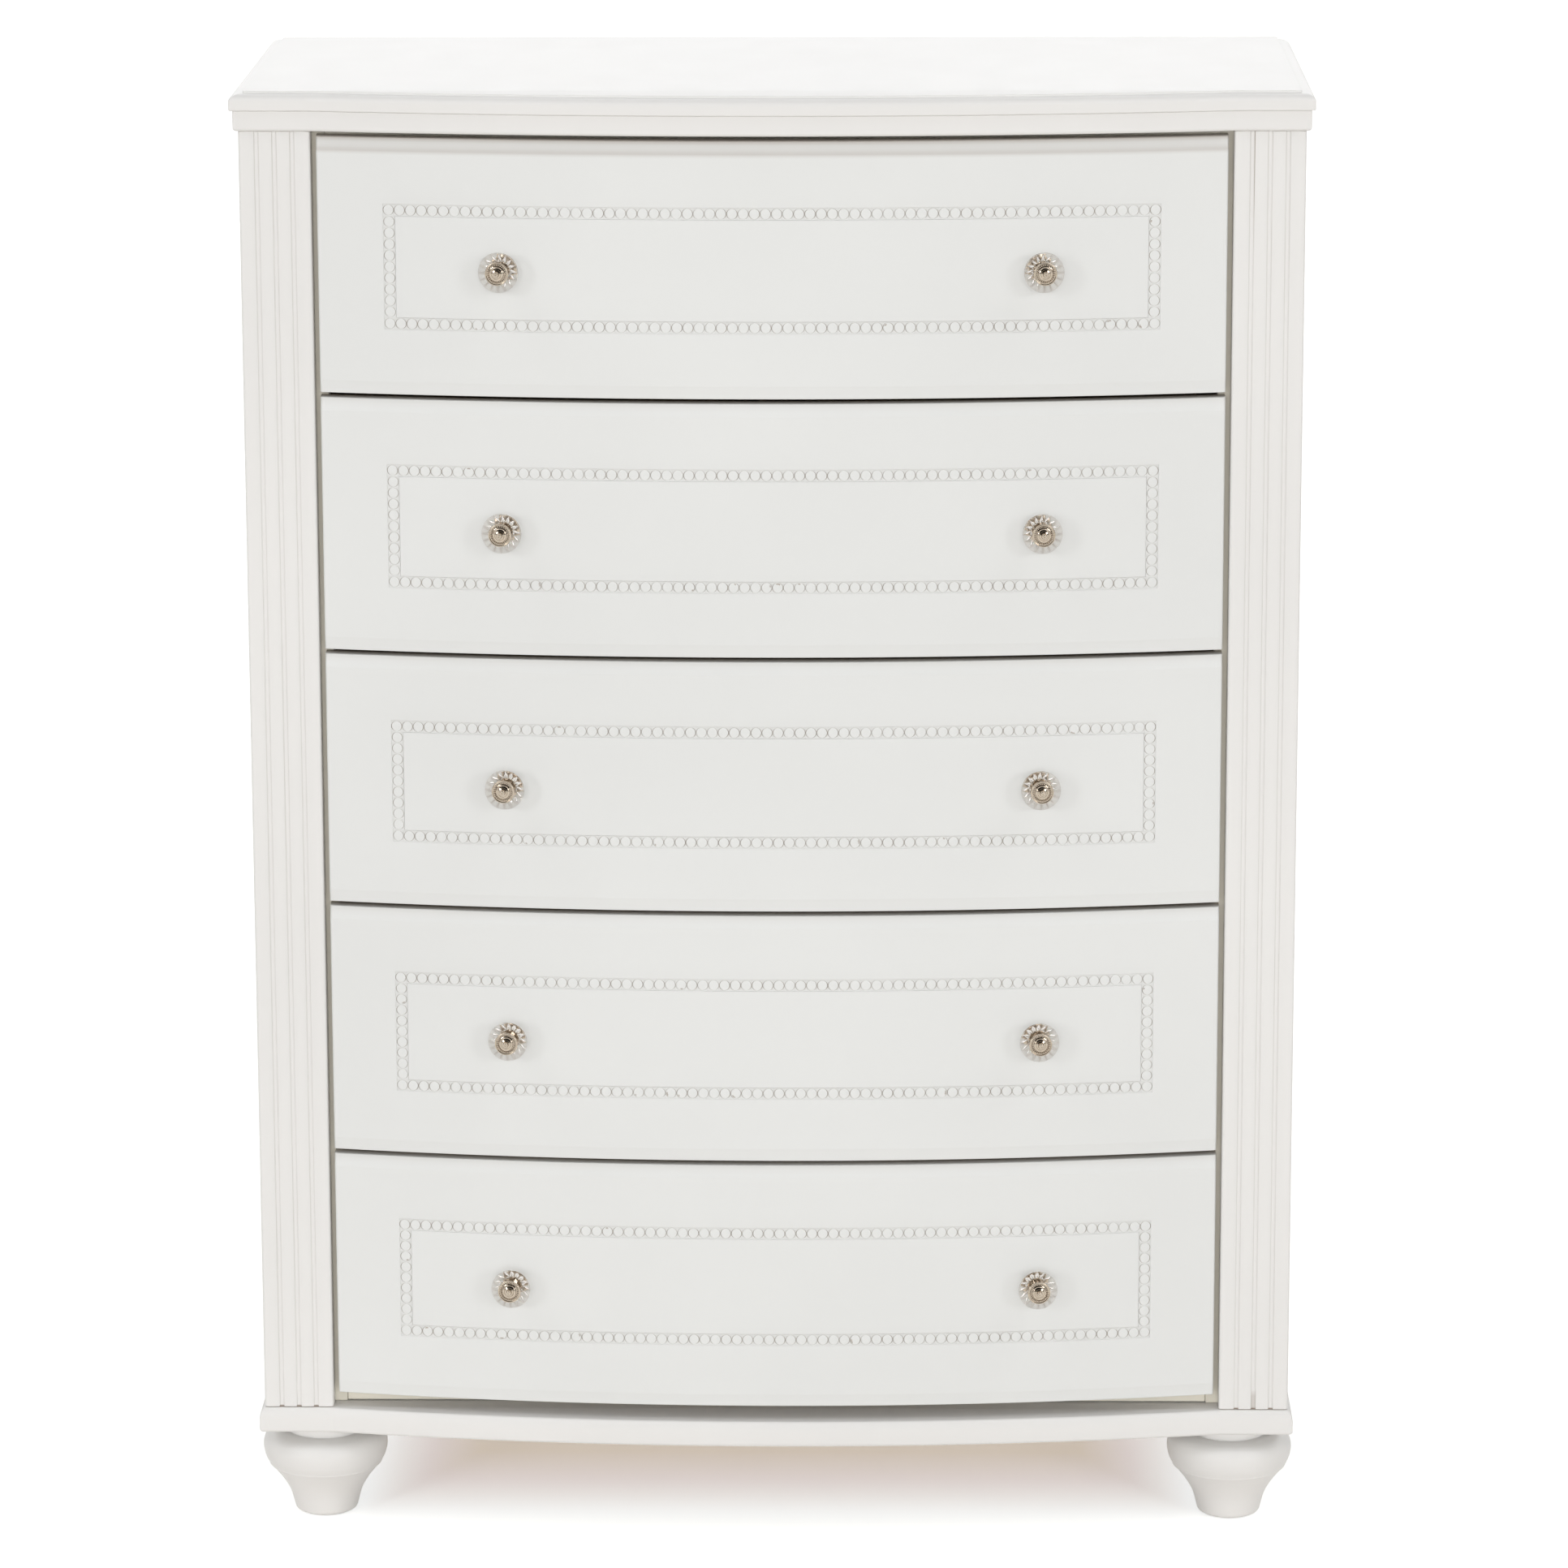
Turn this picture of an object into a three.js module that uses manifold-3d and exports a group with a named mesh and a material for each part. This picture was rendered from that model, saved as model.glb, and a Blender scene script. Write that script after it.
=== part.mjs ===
// Bow-front tall chest of drawers: five overlay drawers, their bowed fronts set with a beaded
// band and glass knobs, between fluted pilasters on turned feet.
// Millimetres, +Z up, front towards -Y. Until the last lines y = 0 is the pilasters' front face.
import * as THREE from 'three';
import { mergeVertices } from 'three/addons/utils/BufferGeometryUtils.js';
import Module from 'manifold-3d';

// ---- Driving dimensions ----
const BODY_HALF = 450;              // outside of the pilasters and side panels
const CARCASS_BACK = 382;           // rear edge of the side panels
const GLUE_LINE = 0.2;              // space kept between pieces that seat on each other
const BOW_RISE = 36;                // how far the middle of the front stands forward

const FOOT_HEIGHT = 88.5;
const BASE_THICKNESS = 22.2;
const POST_HEIGHT = 1128.4;         // pilasters, frame and panels, base board to top moulding
const MOULDING_THICKNESS = 17.6;
const TOP_THICKNESS = 15.8;

const PILASTER_WIDTH = 60.7;
const PILASTER_THICKNESS = 19;
const PILASTER_EDGE_RADIUS = 2.6;
const FLUTE_COUNT = 3;
const FLUTE_PITCH = 15.1;
const FLUTE_WIDTH = 4;
const FLUTE_DEPTH = 1.6;

const FRAME_THICKNESS = 19;
const FRAME_OPENING_HALF = 378.5;   // inner edges of the stiles
const TOP_RAIL_HEIGHT = 20;
const BOTTOM_RAIL_HEIGHT = 24.5;
const SIDE_THICKNESS = 16;
const BACK_THICKNESS = 6;

const DRAWER_COUNT = 5;
const DRAWER_PITCH = 223;
const FRONT_HEIGHT = 219;
const FRONT_HALF = 384.5;
const FRONT_THICKNESS = 17.5;
const FRONT_SETBACK = 1;            // ends of the fronts behind the pilaster faces
const FRONT_LIFT = 13.2;            // lowest front above the base board
const FRONT_EDGE = [[3, 0], [1.8, 1.2], [0, 11]];  // fall and height of the top and bottom bevels
const FRONT_END_CHAMFER = 2;

const BAND_HALF_WIDTH = 328;        // outer edge of the beaded band
const BAND_HALF_HEIGHT = 53.5;
const BAND_WIDTH = 10.4;
const BAND_DEPTH = 2.4;
const BEADS_ACROSS = 70;
const BEADS_UP = 9;
const BEAD_SINK = 0.5;              // crowns behind the true arc of the face

const BOX_HALF = 365.5;
const BOX_BACK = 358;
const BOX_WALL = 12;
const BOX_LIFT = 14;                // underside of the box above the underside of its front
const BOX_HEIGHT = 186;
const PANEL_THICKNESS = 6;
const PANEL_LIFT = 10;
const PANEL_TONGUE = 5.7;
const PANEL_GROOVE = 6;

const KNOB_OFFSET = 227;
const KNOB_SCREW_RADIUS = 2.5;
const KNOB_HOLE_RADIUS = 3.2;
const GLASS_FLUTES = 16;            // one flat for each

const FOOT_INSET = 48.6;            // foot axis from the outside of the body
const FOOT_FRONT = 50.5;
const FOOT_REAR = 327;
const FOOT_NECK_RADIUS = 39.6;

const BOW_STEPS = 10;

// ---- Levels and planes worked out from them ----
const BASE_TOP = FOOT_HEIGHT + BASE_THICKNESS;
const POST_TOP = BASE_TOP + POST_HEIGHT;
const MOULDING_TOP = POST_TOP + MOULDING_THICKNESS;
const PILASTER_INNER = BODY_HALF - PILASTER_WIDTH;
const FRAME_FRONT = PILASTER_THICKNESS + GLUE_LINE;
const FRAME_BACK = FRAME_FRONT + FRAME_THICKNESS;
const PANEL_FRONT = FRAME_BACK + GLUE_LINE;
const SIDE_INNER = BODY_HALF - SIDE_THICKNESS;

// ---- Finishes ----
const finish = (color, roughness, metalness = 0) =>
  new THREE.MeshStandardMaterial({ color, roughness, metalness });
const whitePaint = () => finish('#e6e6e2', 0.45);
const drawerWood = () => finish('#d8c3a0', 0.6);
const backBoard = () => finish('#cdb58d', 0.75);
const clearGlass = () => finish('#dfe6e4', 0.05);
const satinNickel = () => finish('#b8a58c', 0.28, 1);

// ---- Solid helpers ----
const wasm = await Module();
wasm.setup();

function bareGeometry(geometry) {
  const bare = geometry.clone();
  bare.deleteAttribute('normal');
  bare.deleteAttribute('uv');
  return mergeVertices(bare, 1e-4);
}

function toSolid(geometry) {
  const bare = bareGeometry(geometry);
  const vertProperties = new Float32Array(bare.attributes.position.array);
  const triVerts = new Uint32Array(bare.index.array);
  return new wasm.Manifold(new wasm.Mesh({ numProp: 3, vertProperties, triVerts }));
}

function toGeometry(solid) {
  const mesh = solid.getMesh();
  const geometry = new THREE.BufferGeometry();
  geometry.setAttribute('position', new THREE.BufferAttribute(mesh.vertProperties, 3));
  geometry.setIndex(new THREE.BufferAttribute(mesh.triVerts, 1));
  geometry.computeVertexNormals();
  return geometry;
}

function boxBetween(x0, x1, y0, y1, z0, z1) {
  const geometry = new THREE.BoxGeometry(x1 - x0, y1 - y0, z1 - z0);
  return geometry.translate((x0 + x1) / 2, (y0 + y1) / 2, (z0 + z1) / 2);
}

// Skins a stack of plan outlines, each { outline, z } with the same number of points.
function loft(rings) {
  const count = rings[0].outline.length;
  const positions = rings.flatMap(({ outline, z }) => outline.flatMap((p) => [p.x, p.y, z]));
  const index = [];
  for (let ring = 0; ring + 1 < rings.length; ring++) {
    for (let i = 0; i < count; i++) {
      const a = ring * count + i;
      const b = ring * count + (i + 1) % count;
      index.push(a, b, b + count, a, b + count, a + count);
    }
  }
  const lid = THREE.ShapeUtils.triangulateShape(rings[0].outline, []);
  const top = (rings.length - 1) * count;
  for (const [a, b, c] of lid) {
    index.push(a, c, b);
    index.push(top + a, top + b, top + c);
  }
  const geometry = new THREE.BufferGeometry();
  geometry.setAttribute('position', new THREE.Float32BufferAttribute(positions, 3));
  geometry.setIndex(index);
  geometry.computeVertexNormals();
  return geometry;
}

function extrudeUp(shape, z0, z1, curveSegments = 4) {
  const options = { depth: z1 - z0, bevelEnabled: false, curveSegments };
  return new THREE.ExtrudeGeometry(shape, options).translate(0, 0, z0);
}

// The shape is drawn in x and z and runs from y0 to y1.
function extrudeBack(shape, y0, y1) {
  const options = { depth: y1 - y0, bevelEnabled: false };
  return new THREE.ExtrudeGeometry(shape, options).rotateX(Math.PI / 2).translate(0, y1, 0);
}

function polygon(points) {
  return new THREE.Shape(points.map(([x, y]) => new THREE.Vector2(x, y)));
}

// A turned solid whose axis points up; the profile lists [radius, height].
function turned(profile, segments) {
  const points = profile.map(([radius, height]) => new THREE.Vector2(radius, height));
  return new THREE.LatheGeometry(points, segments).rotateX(Math.PI / 2);
}

// ---- The bow ----
function bowRadius(half) {
  return (half * half + BOW_RISE * BOW_RISE) / (2 * BOW_RISE);
}

// How far the circle arc over the span stands forward at x; nothing outside the span.
function bow(x, half) {
  if (Math.abs(x) >= half) return 0;
  const radius = bowRadius(half);
  return Math.sqrt(radius * radius - x * x) - (radius - BOW_RISE);
}

function spread(x0, x1, steps) {
  return Array.from({ length: steps + 1 }, (_, i) => x0 + (x1 - x0) * i / steps);
}

// Board outline: square at the back, straight over the pilasters, bowed between them.
function boardOutline(overhang, backY, inset = 0) {
  const side = BODY_HALF + overhang - inset;
  const frontY = inset - overhang;
  const arc = spread(-PILASTER_INNER, PILASTER_INNER, BOW_STEPS)
    .map((x) => new THREE.Vector2(x, frontY - bow(x, PILASTER_INNER)));
  const left = [new THREE.Vector2(-side, backY), new THREE.Vector2(-side, frontY)];
  const right = [new THREE.Vector2(side, frontY), new THREE.Vector2(side, backY)];
  return [...left, ...arc, ...right];
}

// A board whose edge follows a moulding profile of [inset, height above its underside].
function mouldedBoard(overhang, backY, z, profile) {
  return loft(profile.map(([inset, height]) => (
    { outline: boardOutline(overhang, backY, inset), z: z + height })));
}

// ---- Carcass pieces ----
function topBoard() {
  const overhang = 7;
  const back = CARCASS_BACK + 4;
  const profile = [
    [1.2, 0], [0, 1.2], [0, 8],           // eased lower corner and upright edge
    [0.9, 10.3], [3.4, 12.3], [9, 13.8],  // flat ovolo
    [10.5, 14.6], [13, TOP_THICKNESS],    // small cove up to the surface
  ];
  return mouldedBoard(overhang, back, MOULDING_TOP + GLUE_LINE, profile);
}

function topMoulding() {
  const overhang = 4;
  const height = MOULDING_THICKNESS - GLUE_LINE;
  const profile = [[3.2, 0], [1.2, 2.2], [0, 7], [0, height]];
  return mouldedBoard(overhang, CARCASS_BACK, POST_TOP + GLUE_LINE, profile);
}

function baseBoard() {
  const overhang = 4.5;
  const profile = [
    [3.2, 0], [1, 2.6], [0, 7], [0, 12.5],
    [1, 17.5], [2.6, 20.6], [4.6, BASE_THICKNESS],
  ];
  return mouldedBoard(overhang, CARCASS_BACK, FOOT_HEIGHT, profile);
}

function pilaster() {
  const inner = -PILASTER_INNER;
  const outer = -BODY_HALF;
  const r = PILASTER_EDGE_RADIUS;
  const shape = new THREE.Shape();
  shape.moveTo(outer, PILASTER_THICKNESS);
  shape.lineTo(outer, r);
  shape.absarc(outer + r, r, r, Math.PI, 1.5 * Math.PI, false);
  const fluteRadius = (FLUTE_WIDTH ** 2 / 4 + FLUTE_DEPTH ** 2) / (2 * FLUTE_DEPTH);
  const centreY = FLUTE_DEPTH - fluteRadius;
  const lip = Math.asin(-centreY / fluteRadius);
  for (let i = 0; i < FLUTE_COUNT; i++) {
    const x = (outer + inner) / 2 + (i - (FLUTE_COUNT - 1) / 2) * FLUTE_PITCH;
    shape.absarc(x, centreY, fluteRadius, Math.PI - lip, lip, true);
  }
  shape.absarc(inner - r, r, r, 1.5 * Math.PI, 2 * Math.PI, false);
  shape.lineTo(inner, PILASTER_THICKNESS);
  return extrudeUp(shape, BASE_TOP + GLUE_LINE, POST_TOP);
}

function faceFrame() {
  const bottom = BASE_TOP + GLUE_LINE;
  const shape = polygon([
    [-BODY_HALF, bottom], [BODY_HALF, bottom], [BODY_HALF, POST_TOP], [-BODY_HALF, POST_TOP],
  ]);
  const low = BASE_TOP + BOTTOM_RAIL_HEIGHT;
  const high = POST_TOP - TOP_RAIL_HEIGHT;
  const half = FRAME_OPENING_HALF;
  shape.holes.push(polygon([[-half, low], [-half, high], [half, high], [half, low]]));
  return extrudeBack(shape, FRAME_FRONT, FRAME_BACK);
}

function sidePanel() {
  const bottom = BASE_TOP + GLUE_LINE;
  return boxBetween(-BODY_HALF, -SIDE_INNER, PANEL_FRONT, CARCASS_BACK, bottom, POST_TOP);
}

function backPanel() {
  const half = SIDE_INNER - GLUE_LINE;
  const front = CARCASS_BACK - BACK_THICKNESS;
  return boxBetween(-half, half, front, CARCASS_BACK, BASE_TOP + GLUE_LINE, POST_TOP);
}

// Bun foot: glide, taper, cove, a sharp crease, the bun and a short thick neck.
function foot() {
  const profile = [
    [0, 0], [9, 0], [9, 0.8], [23, 0.8], [28.6, 5.5],
    [34.6, 28], [41.2, 38], [49, 47], [54.2, 54],
    [54.2, 68], [45.4, 75.6], [FOOT_NECK_RADIUS, 77],
    [FOOT_NECK_RADIUS, FOOT_HEIGHT - GLUE_LINE], [0, FOOT_HEIGHT - GLUE_LINE],
  ];
  return turned(profile, 16);
}

// ---- Drawer pieces, each drawn with its front's underside at z = 0 ----
const frontFace = (x) => FRONT_SETBACK - bow(x, FRONT_HALF);
const frontBack = (x) => frontFace(x) + FRONT_THICKNESS;

function frontOutline(inset) {
  const end = FRONT_HALF;
  const corner = end - FRONT_END_CHAMFER;
  const shoulder = FRONT_SETBACK + FRONT_END_CHAMFER + inset;
  const face = spread(-corner, corner, BOW_STEPS)
    .map((x) => new THREE.Vector2(x, frontFace(x) + inset));
  const rear = spread(end, -end, BOW_STEPS)
    .map((x) => new THREE.Vector2(x, frontBack(x)));
  return [new THREE.Vector2(-end, shoulder), ...face, new THREE.Vector2(end, shoulder), ...rear];
}

// How far a straight facet of the bow lies inside the true arc.
function facetSag() {
  return (2 * FRONT_HALF / BOW_STEPS) ** 2 / (8 * bowRadius(FRONT_HALF));
}

// Cutter for a run of beads, one cell of the x and z grid for each: a bar in front of the face
// whose rear is a row of hollow pyramids, so that it leaves a channel filled with raised ones.
function beadCutter(xs, zs) {
  const wide = xs.length;
  const last = zs.length - 1;
  const layer = (depth) => zs.flatMap((z) => xs.flatMap((x) => [x, frontFace(x) + depth, z]));
  const positions = [...layer(-1), ...layer(BAND_DEPTH)];
  const rear = wide * zs.length;
  const index = [];
  for (let row = 0; row < last; row++) {
    for (let i = 0; i + 1 < wide; i++) {
      const a = row * wide + i;
      const corners = [a, a + 1, a + 1 + wide, a + wide];
      index.push(a, corners[1], corners[2], a, corners[2], corners[3]);
      const x = (xs[i] + xs[i + 1]) / 2;
      const apex = positions.length / 3;
      positions.push(x, frontFace(x) + BEAD_SINK, (zs[row] + zs[row + 1]) / 2);
      corners.forEach((corner, side) => {
        index.push(rear + corners[(side + 1) % 4], rear + corner, apex);
      });
    }
  }
  const rim = [
    ...xs.map((_, i) => i),
    ...zs.slice(1).map((_, row) => (row + 2) * wide - 1),
    ...xs.slice(1).map((_, i) => (last + 1) * wide - 2 - i),
    ...zs.slice(2).map((_, row) => (last - 1 - row) * wide),
  ];
  rim.forEach((a, i) => {
    const b = rim[(i + 1) % rim.length];
    index.push(b, a, rear + a, b, rear + a, rear + b);
  });
  const geometry = new THREE.BufferGeometry();
  geometry.setAttribute('position', new THREE.Float32BufferAttribute(positions, 3));
  geometry.setIndex(index);
  return toSolid(geometry);
}

// The beaded rectangle: a long run along the top and the bottom, a short one up each end.
function bandCutters() {
  const outerX = BAND_HALF_WIDTH;
  const innerX = BAND_HALF_WIDTH - BAND_WIDTH;
  const middle = FRONT_HEIGHT / 2;
  const reach = BAND_HALF_HEIGHT - BAND_WIDTH;
  const across = spread(-outerX, outerX, BEADS_ACROSS);
  const up = spread(middle - reach, middle + reach, BEADS_UP);
  return [
    beadCutter(across, [middle + reach, middle + BAND_HALF_HEIGHT]),
    beadCutter(across, [middle - BAND_HALF_HEIGHT, middle - reach]),
    beadCutter([-outerX, -innerX], up),
    beadCutter([innerX, outerX], up),
  ];
}

function knobAngle(x) {
  return Math.asin(x / bowRadius(FRONT_HALF));
}

function knobHole(x) {
  const length = 3 * FRONT_THICKNESS;
  const geometry = new THREE.CylinderGeometry(KNOB_HOLE_RADIUS, KNOB_HOLE_RADIUS, length, 8);
  geometry.rotateZ(knobAngle(x));
  return toSolid(geometry.translate(x, frontFace(x), FRONT_HEIGHT / 2));
}

// Outline of the bottom panel, or of its groove, let into the walls by the given amount.
function panelOutline(tongue) {
  const half = BOX_HALF - BOX_WALL + tongue;
  const face = spread(-half, half, BOW_STEPS)
    .map((x) => new THREE.Vector2(x, frontBack(x) - tongue));
  const rear = BOX_BACK - BOX_WALL + tongue;
  return [...face, new THREE.Vector2(half, rear), new THREE.Vector2(-half, rear)];
}

function panelSlab(tongue, slack) {
  const z = BOX_LIFT + PANEL_LIFT;
  const outline = panelOutline(tongue);
  return loft([{ outline, z: z - slack }, { outline, z: z + PANEL_THICKNESS + slack }]);
}

function drawerFront() {
  const lower = FRONT_EDGE.map(([inset, z]) => ({ inset, z }));
  const upper = lower.map(({ inset, z }) => ({ inset, z: FRONT_HEIGHT - z })).reverse();
  const rings = [...lower, ...upper].map(({ inset, z }) => ({ outline: frontOutline(inset), z }));
  return toGeometry(toSolid(loft(rings))
    .subtract(bandCutters().reduce((all, run) => all.add(run)))
    .subtract(knobHole(-KNOB_OFFSET))
    .subtract(knobHole(KNOB_OFFSET))
    .subtract(toSolid(panelSlab(PANEL_GROOVE, GLUE_LINE))));
}

// Sides and back in one glued piece, its front ends scribed to the bow.
function drawerBox() {
  const inner = BOX_HALF - BOX_WALL;
  const front = (x) => frontBack(x) + facetSag() + GLUE_LINE;
  const shape = polygon([
    [-BOX_HALF, front(BOX_HALF)], [-inner, front(inner)], [-inner, BOX_BACK - BOX_WALL],
    [inner, BOX_BACK - BOX_WALL], [inner, front(inner)], [BOX_HALF, front(BOX_HALF)],
    [BOX_HALF, BOX_BACK], [-BOX_HALF, BOX_BACK],
  ]);
  const walls = extrudeUp(shape, BOX_LIFT, BOX_LIFT + BOX_HEIGHT);
  return toGeometry(toSolid(walls).subtract(toSolid(panelSlab(PANEL_GROOVE, GLUE_LINE))));
}

function drawerBottom() {
  return panelSlab(PANEL_TONGUE, 0);
}

// Wooden runner: a ledge under the box side and an upright that guides it.
function runner() {
  const ledge = BOX_HALF - BOX_WALL;
  const guide = BOX_HALF + 1.5;
  const outer = FRAME_OPENING_HALF + 14;
  const ledgeTop = BOX_LIFT - GLUE_LINE;
  const underside = ledgeTop - 20;
  const shape = polygon([
    [-outer, underside], [-ledge, underside], [-ledge, ledgeTop], [-guide, ledgeTop],
    [-guide, ledgeTop + 22], [-outer, ledgeTop + 22],
  ]);
  return extrudeBack(shape, PANEL_FRONT, CARCASS_BACK - BACK_THICKNESS - GLUE_LINE);
}

// ---- Knob, drawn standing on the drawer face with its axis up ----
function knobGlass() {
  const bore = KNOB_HOLE_RADIUS;
  const profile = [
    [bore, 4.6], [5.4, 4.6], [7.2, 10], [17, 19.6], [13.4, 25.6], [bore, 26.8], [bore, 4.6],
  ];
  return turned(profile, GLASS_FLUTES);
}

// Ferrule against the drawer, screw through glass and front, and the stepped boss.
function knobBoss() {
  const screw = KNOB_SCREW_RADIUS;
  const inside = -FRONT_THICKNESS - GLUE_LINE;
  const shank = [
    [0, inside - 3.4], [4.6, inside - 3.4], [4.6, inside - 0.2], [screw, inside - 0.2],
    [screw, 0.3], [6.3, 0.3], [5.2, 4.3], [screw, 4.3],
  ];
  const boss = [
    [screw, 27.1], [10, 27.1], [9, 28.8], [6.6, 28.8],
    [6.4, 29.5], [2.5, 31.2], [2, 33.4], [0, 33.8],
  ];
  return turned([...shank, ...boss], 8);
}

// ---- Assembly ----
const chest = new THREE.Group();

function place(parent, name, geometry, material) {
  const mesh = new THREE.Mesh(geometry, material);
  mesh.name = name;
  parent.add(mesh);
  return mesh;
}

// A piece drawn on the left side turned into its right-hand partner.
function mirrored(geometry) {
  const copy = bareGeometry(geometry).scale(-1, 1, 1);
  const index = Array.from(copy.index.array);
  for (let i = 0; i < index.length; i += 3) {
    [index[i + 1], index[i + 2]] = [index[i + 2], index[i + 1]];
  }
  copy.setIndex(index);
  copy.computeVertexNormals();
  return copy;
}

function placePair(parent, stem, geometry, material) {
  place(parent, `${stem}_left`, geometry, material());
  place(parent, `${stem}_right`, mirrored(geometry), material());
}

place(chest, 'top_board', topBoard(), whitePaint());
place(chest, 'top_moulding', topMoulding(), whitePaint());
place(chest, 'base_board', baseBoard(), whitePaint());
place(chest, 'face_frame', faceFrame(), whitePaint());
place(chest, 'back_panel', backPanel(), backBoard());
placePair(chest, 'pilaster', pilaster(), whitePaint);
placePair(chest, 'side_panel', sidePanel(), whitePaint);

const footGeometry = foot();
for (const [end, y] of [['front', FOOT_FRONT], ['rear', FOOT_REAR]]) {
  for (const [side, sign] of [['left', -1], ['right', 1]]) {
    const mesh = place(chest, `foot_${end}_${side}`, footGeometry, whitePaint());
    mesh.position.set(sign * (BODY_HALF - FOOT_INSET), y, 0);
  }
}

const pieces = {
  front: drawerFront(), box: drawerBox(), bottom: drawerBottom(), runner: runner(),
  glass: knobGlass(), boss: knobBoss(),
};
for (let number = 1; number <= DRAWER_COUNT; number++) {
  const drawer = new THREE.Group();
  drawer.position.z = BASE_TOP + FRONT_LIFT + (DRAWER_COUNT - number) * DRAWER_PITCH;
  place(drawer, `drawer_${number}_front`, pieces.front, whitePaint());
  place(drawer, `drawer_${number}_box`, pieces.box, drawerWood());
  place(drawer, `drawer_${number}_bottom`, pieces.bottom, backBoard());
  for (const [side, sign] of [['left', -1], ['right', 1]]) {
    const knob = new THREE.Group();
    knob.position.set(sign * KNOB_OFFSET, frontFace(KNOB_OFFSET), FRONT_HEIGHT / 2);
    knob.rotation.set(Math.PI / 2, sign * knobAngle(KNOB_OFFSET), 0, 'ZXY');
    place(knob, `drawer_${number}_knob_${side}_glass`, pieces.glass, clearGlass());
    place(knob, `drawer_${number}_knob_${side}_boss`, pieces.boss, satinNickel());
    drawer.add(knob);
  }
  chest.add(drawer);

  const runners = new THREE.Group();
  runners.position.z = drawer.position.z;
  placePair(runners, `runner_${number}`, pieces.runner, drawerWood);
  chest.add(runners);
}

// The origin is the middle of the footprint, on the floor.
const extent = new THREE.Box3().setFromObject(chest, true);
chest.position.y = -(extent.min.y + extent.max.y) / 2;

export default chest;
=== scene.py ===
"""Looks of a white bow-front chest of drawers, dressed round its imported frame. Metres, +Z up."""

import math
import random

import bmesh
import bpy
from mathutils import Matrix, Vector


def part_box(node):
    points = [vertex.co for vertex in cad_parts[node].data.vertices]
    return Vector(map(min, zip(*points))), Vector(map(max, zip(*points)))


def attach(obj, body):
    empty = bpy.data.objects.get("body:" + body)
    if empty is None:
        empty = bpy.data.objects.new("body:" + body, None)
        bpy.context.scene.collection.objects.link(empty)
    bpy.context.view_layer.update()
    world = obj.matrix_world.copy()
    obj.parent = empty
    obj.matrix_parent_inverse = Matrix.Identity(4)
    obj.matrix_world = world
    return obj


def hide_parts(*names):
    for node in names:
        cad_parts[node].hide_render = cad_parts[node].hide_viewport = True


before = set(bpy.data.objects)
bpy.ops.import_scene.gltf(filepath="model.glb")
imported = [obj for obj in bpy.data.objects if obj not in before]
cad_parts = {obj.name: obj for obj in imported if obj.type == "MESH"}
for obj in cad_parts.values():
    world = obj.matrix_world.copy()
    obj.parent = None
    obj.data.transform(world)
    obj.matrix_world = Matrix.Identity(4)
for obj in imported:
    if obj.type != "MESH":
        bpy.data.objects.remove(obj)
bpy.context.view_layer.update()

MM = 0.001
DRAWERS = range(1, 6)

# ---- Sizes read from the frame ----
pilaster_low, pilaster_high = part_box("pilaster_right")
front_low, front_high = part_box("drawer_3_front")
BODY_HALF = pilaster_high.x
PILASTER_INNER = pilaster_low.x
FACE_Y = pilaster_low.y                    # front plane of the pilasters
FRONT_HALF = front_high.x
FRONT_HEIGHT = front_high.z - front_low.z
FRONT_END_Y = FACE_Y + 1 * MM              # plane of the drawer fronts' ends, set back a little
BOW_RISE = FRONT_END_Y - front_low.y

# ---- Sizes of its details ----
FRONT_THICKNESS = 17.5 * MM
BEVEL_HEIGHT = 11 * MM                     # shallow bevels along the top and bottom of a front
BEVEL_FALL = 1.8 * MM
BEVEL_CURVE = 0.85                         # exponent of its section
BEVEL_ROUND = 1.2 * MM
FRONT_END_ROUND = 2 * MM
BAND_HALF_WIDTH = 328 * MM
BAND_HALF_HEIGHT = 53.5 * MM
BAND_WIDTH = 10.4 * MM
BAND_DEPTH = 2.4 * MM
BEADS_ACROSS = 70
BEADS_UP = 9
KNOB_OFFSET = 227 * MM
FLUTE_PITCH = 15.1 * MM
FLUTE_WIDTH = 4 * MM
FLUTE_DEPTH = 1.6 * MM
PILASTER_ROUND = 2.6 * MM


# ---- Camera, lights and stage ----
CAMERA_PLACE = (0.1097, -5.7525, 1.9796)
CAMERA_ANGLES = (13.14, 1.033, -0.16)      # pitch, yaw and roll, in degrees
CAMERA_LENS = 153.1
CAMERA_SENSOR = 36


def make_camera():
    pitch, yaw, roll = (math.radians(angle) for angle in CAMERA_ANGLES)
    data = bpy.data.cameras.new("camera")
    data.lens = CAMERA_LENS
    data.sensor_width = CAMERA_SENSOR
    camera = bpy.data.objects.new("camera", data)
    bpy.context.scene.collection.objects.link(camera)
    turn = Matrix.Rotation(yaw, 4, "Z") @ Matrix.Rotation(math.pi / 2 - pitch, 4, "X")
    camera.matrix_world = Matrix.Translation(CAMERA_PLACE) @ turn @ Matrix.Rotation(roll, 4, "Z")
    bpy.context.scene.camera = camera


# Far soft lamps as (name, direction they stand in, level, angle spanned in degrees, seen in gloss):
# a broad one at eye level, one low behind, a pair at the sides and a pair overhead.
LAMPS = [
    ("front", (0, -1, 0.12), 1.02, 25, False), ("rear", (0, 1, 0.45), 0.72, 50, True),
    ("side_left", (-0.72, -1, 0.28), 0.40, 15, True), ("high_left", (-1.85, -1, 2.6), 0.36, 30, True),
    ("side_right", (0.72, -1, 0.28), 0.40, 15, True), ("high_right", (1.85, -1, 2.6), 0.36, 30, True),
]
ROOM_LEVEL = 0.31                          # plain light from all round


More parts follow.
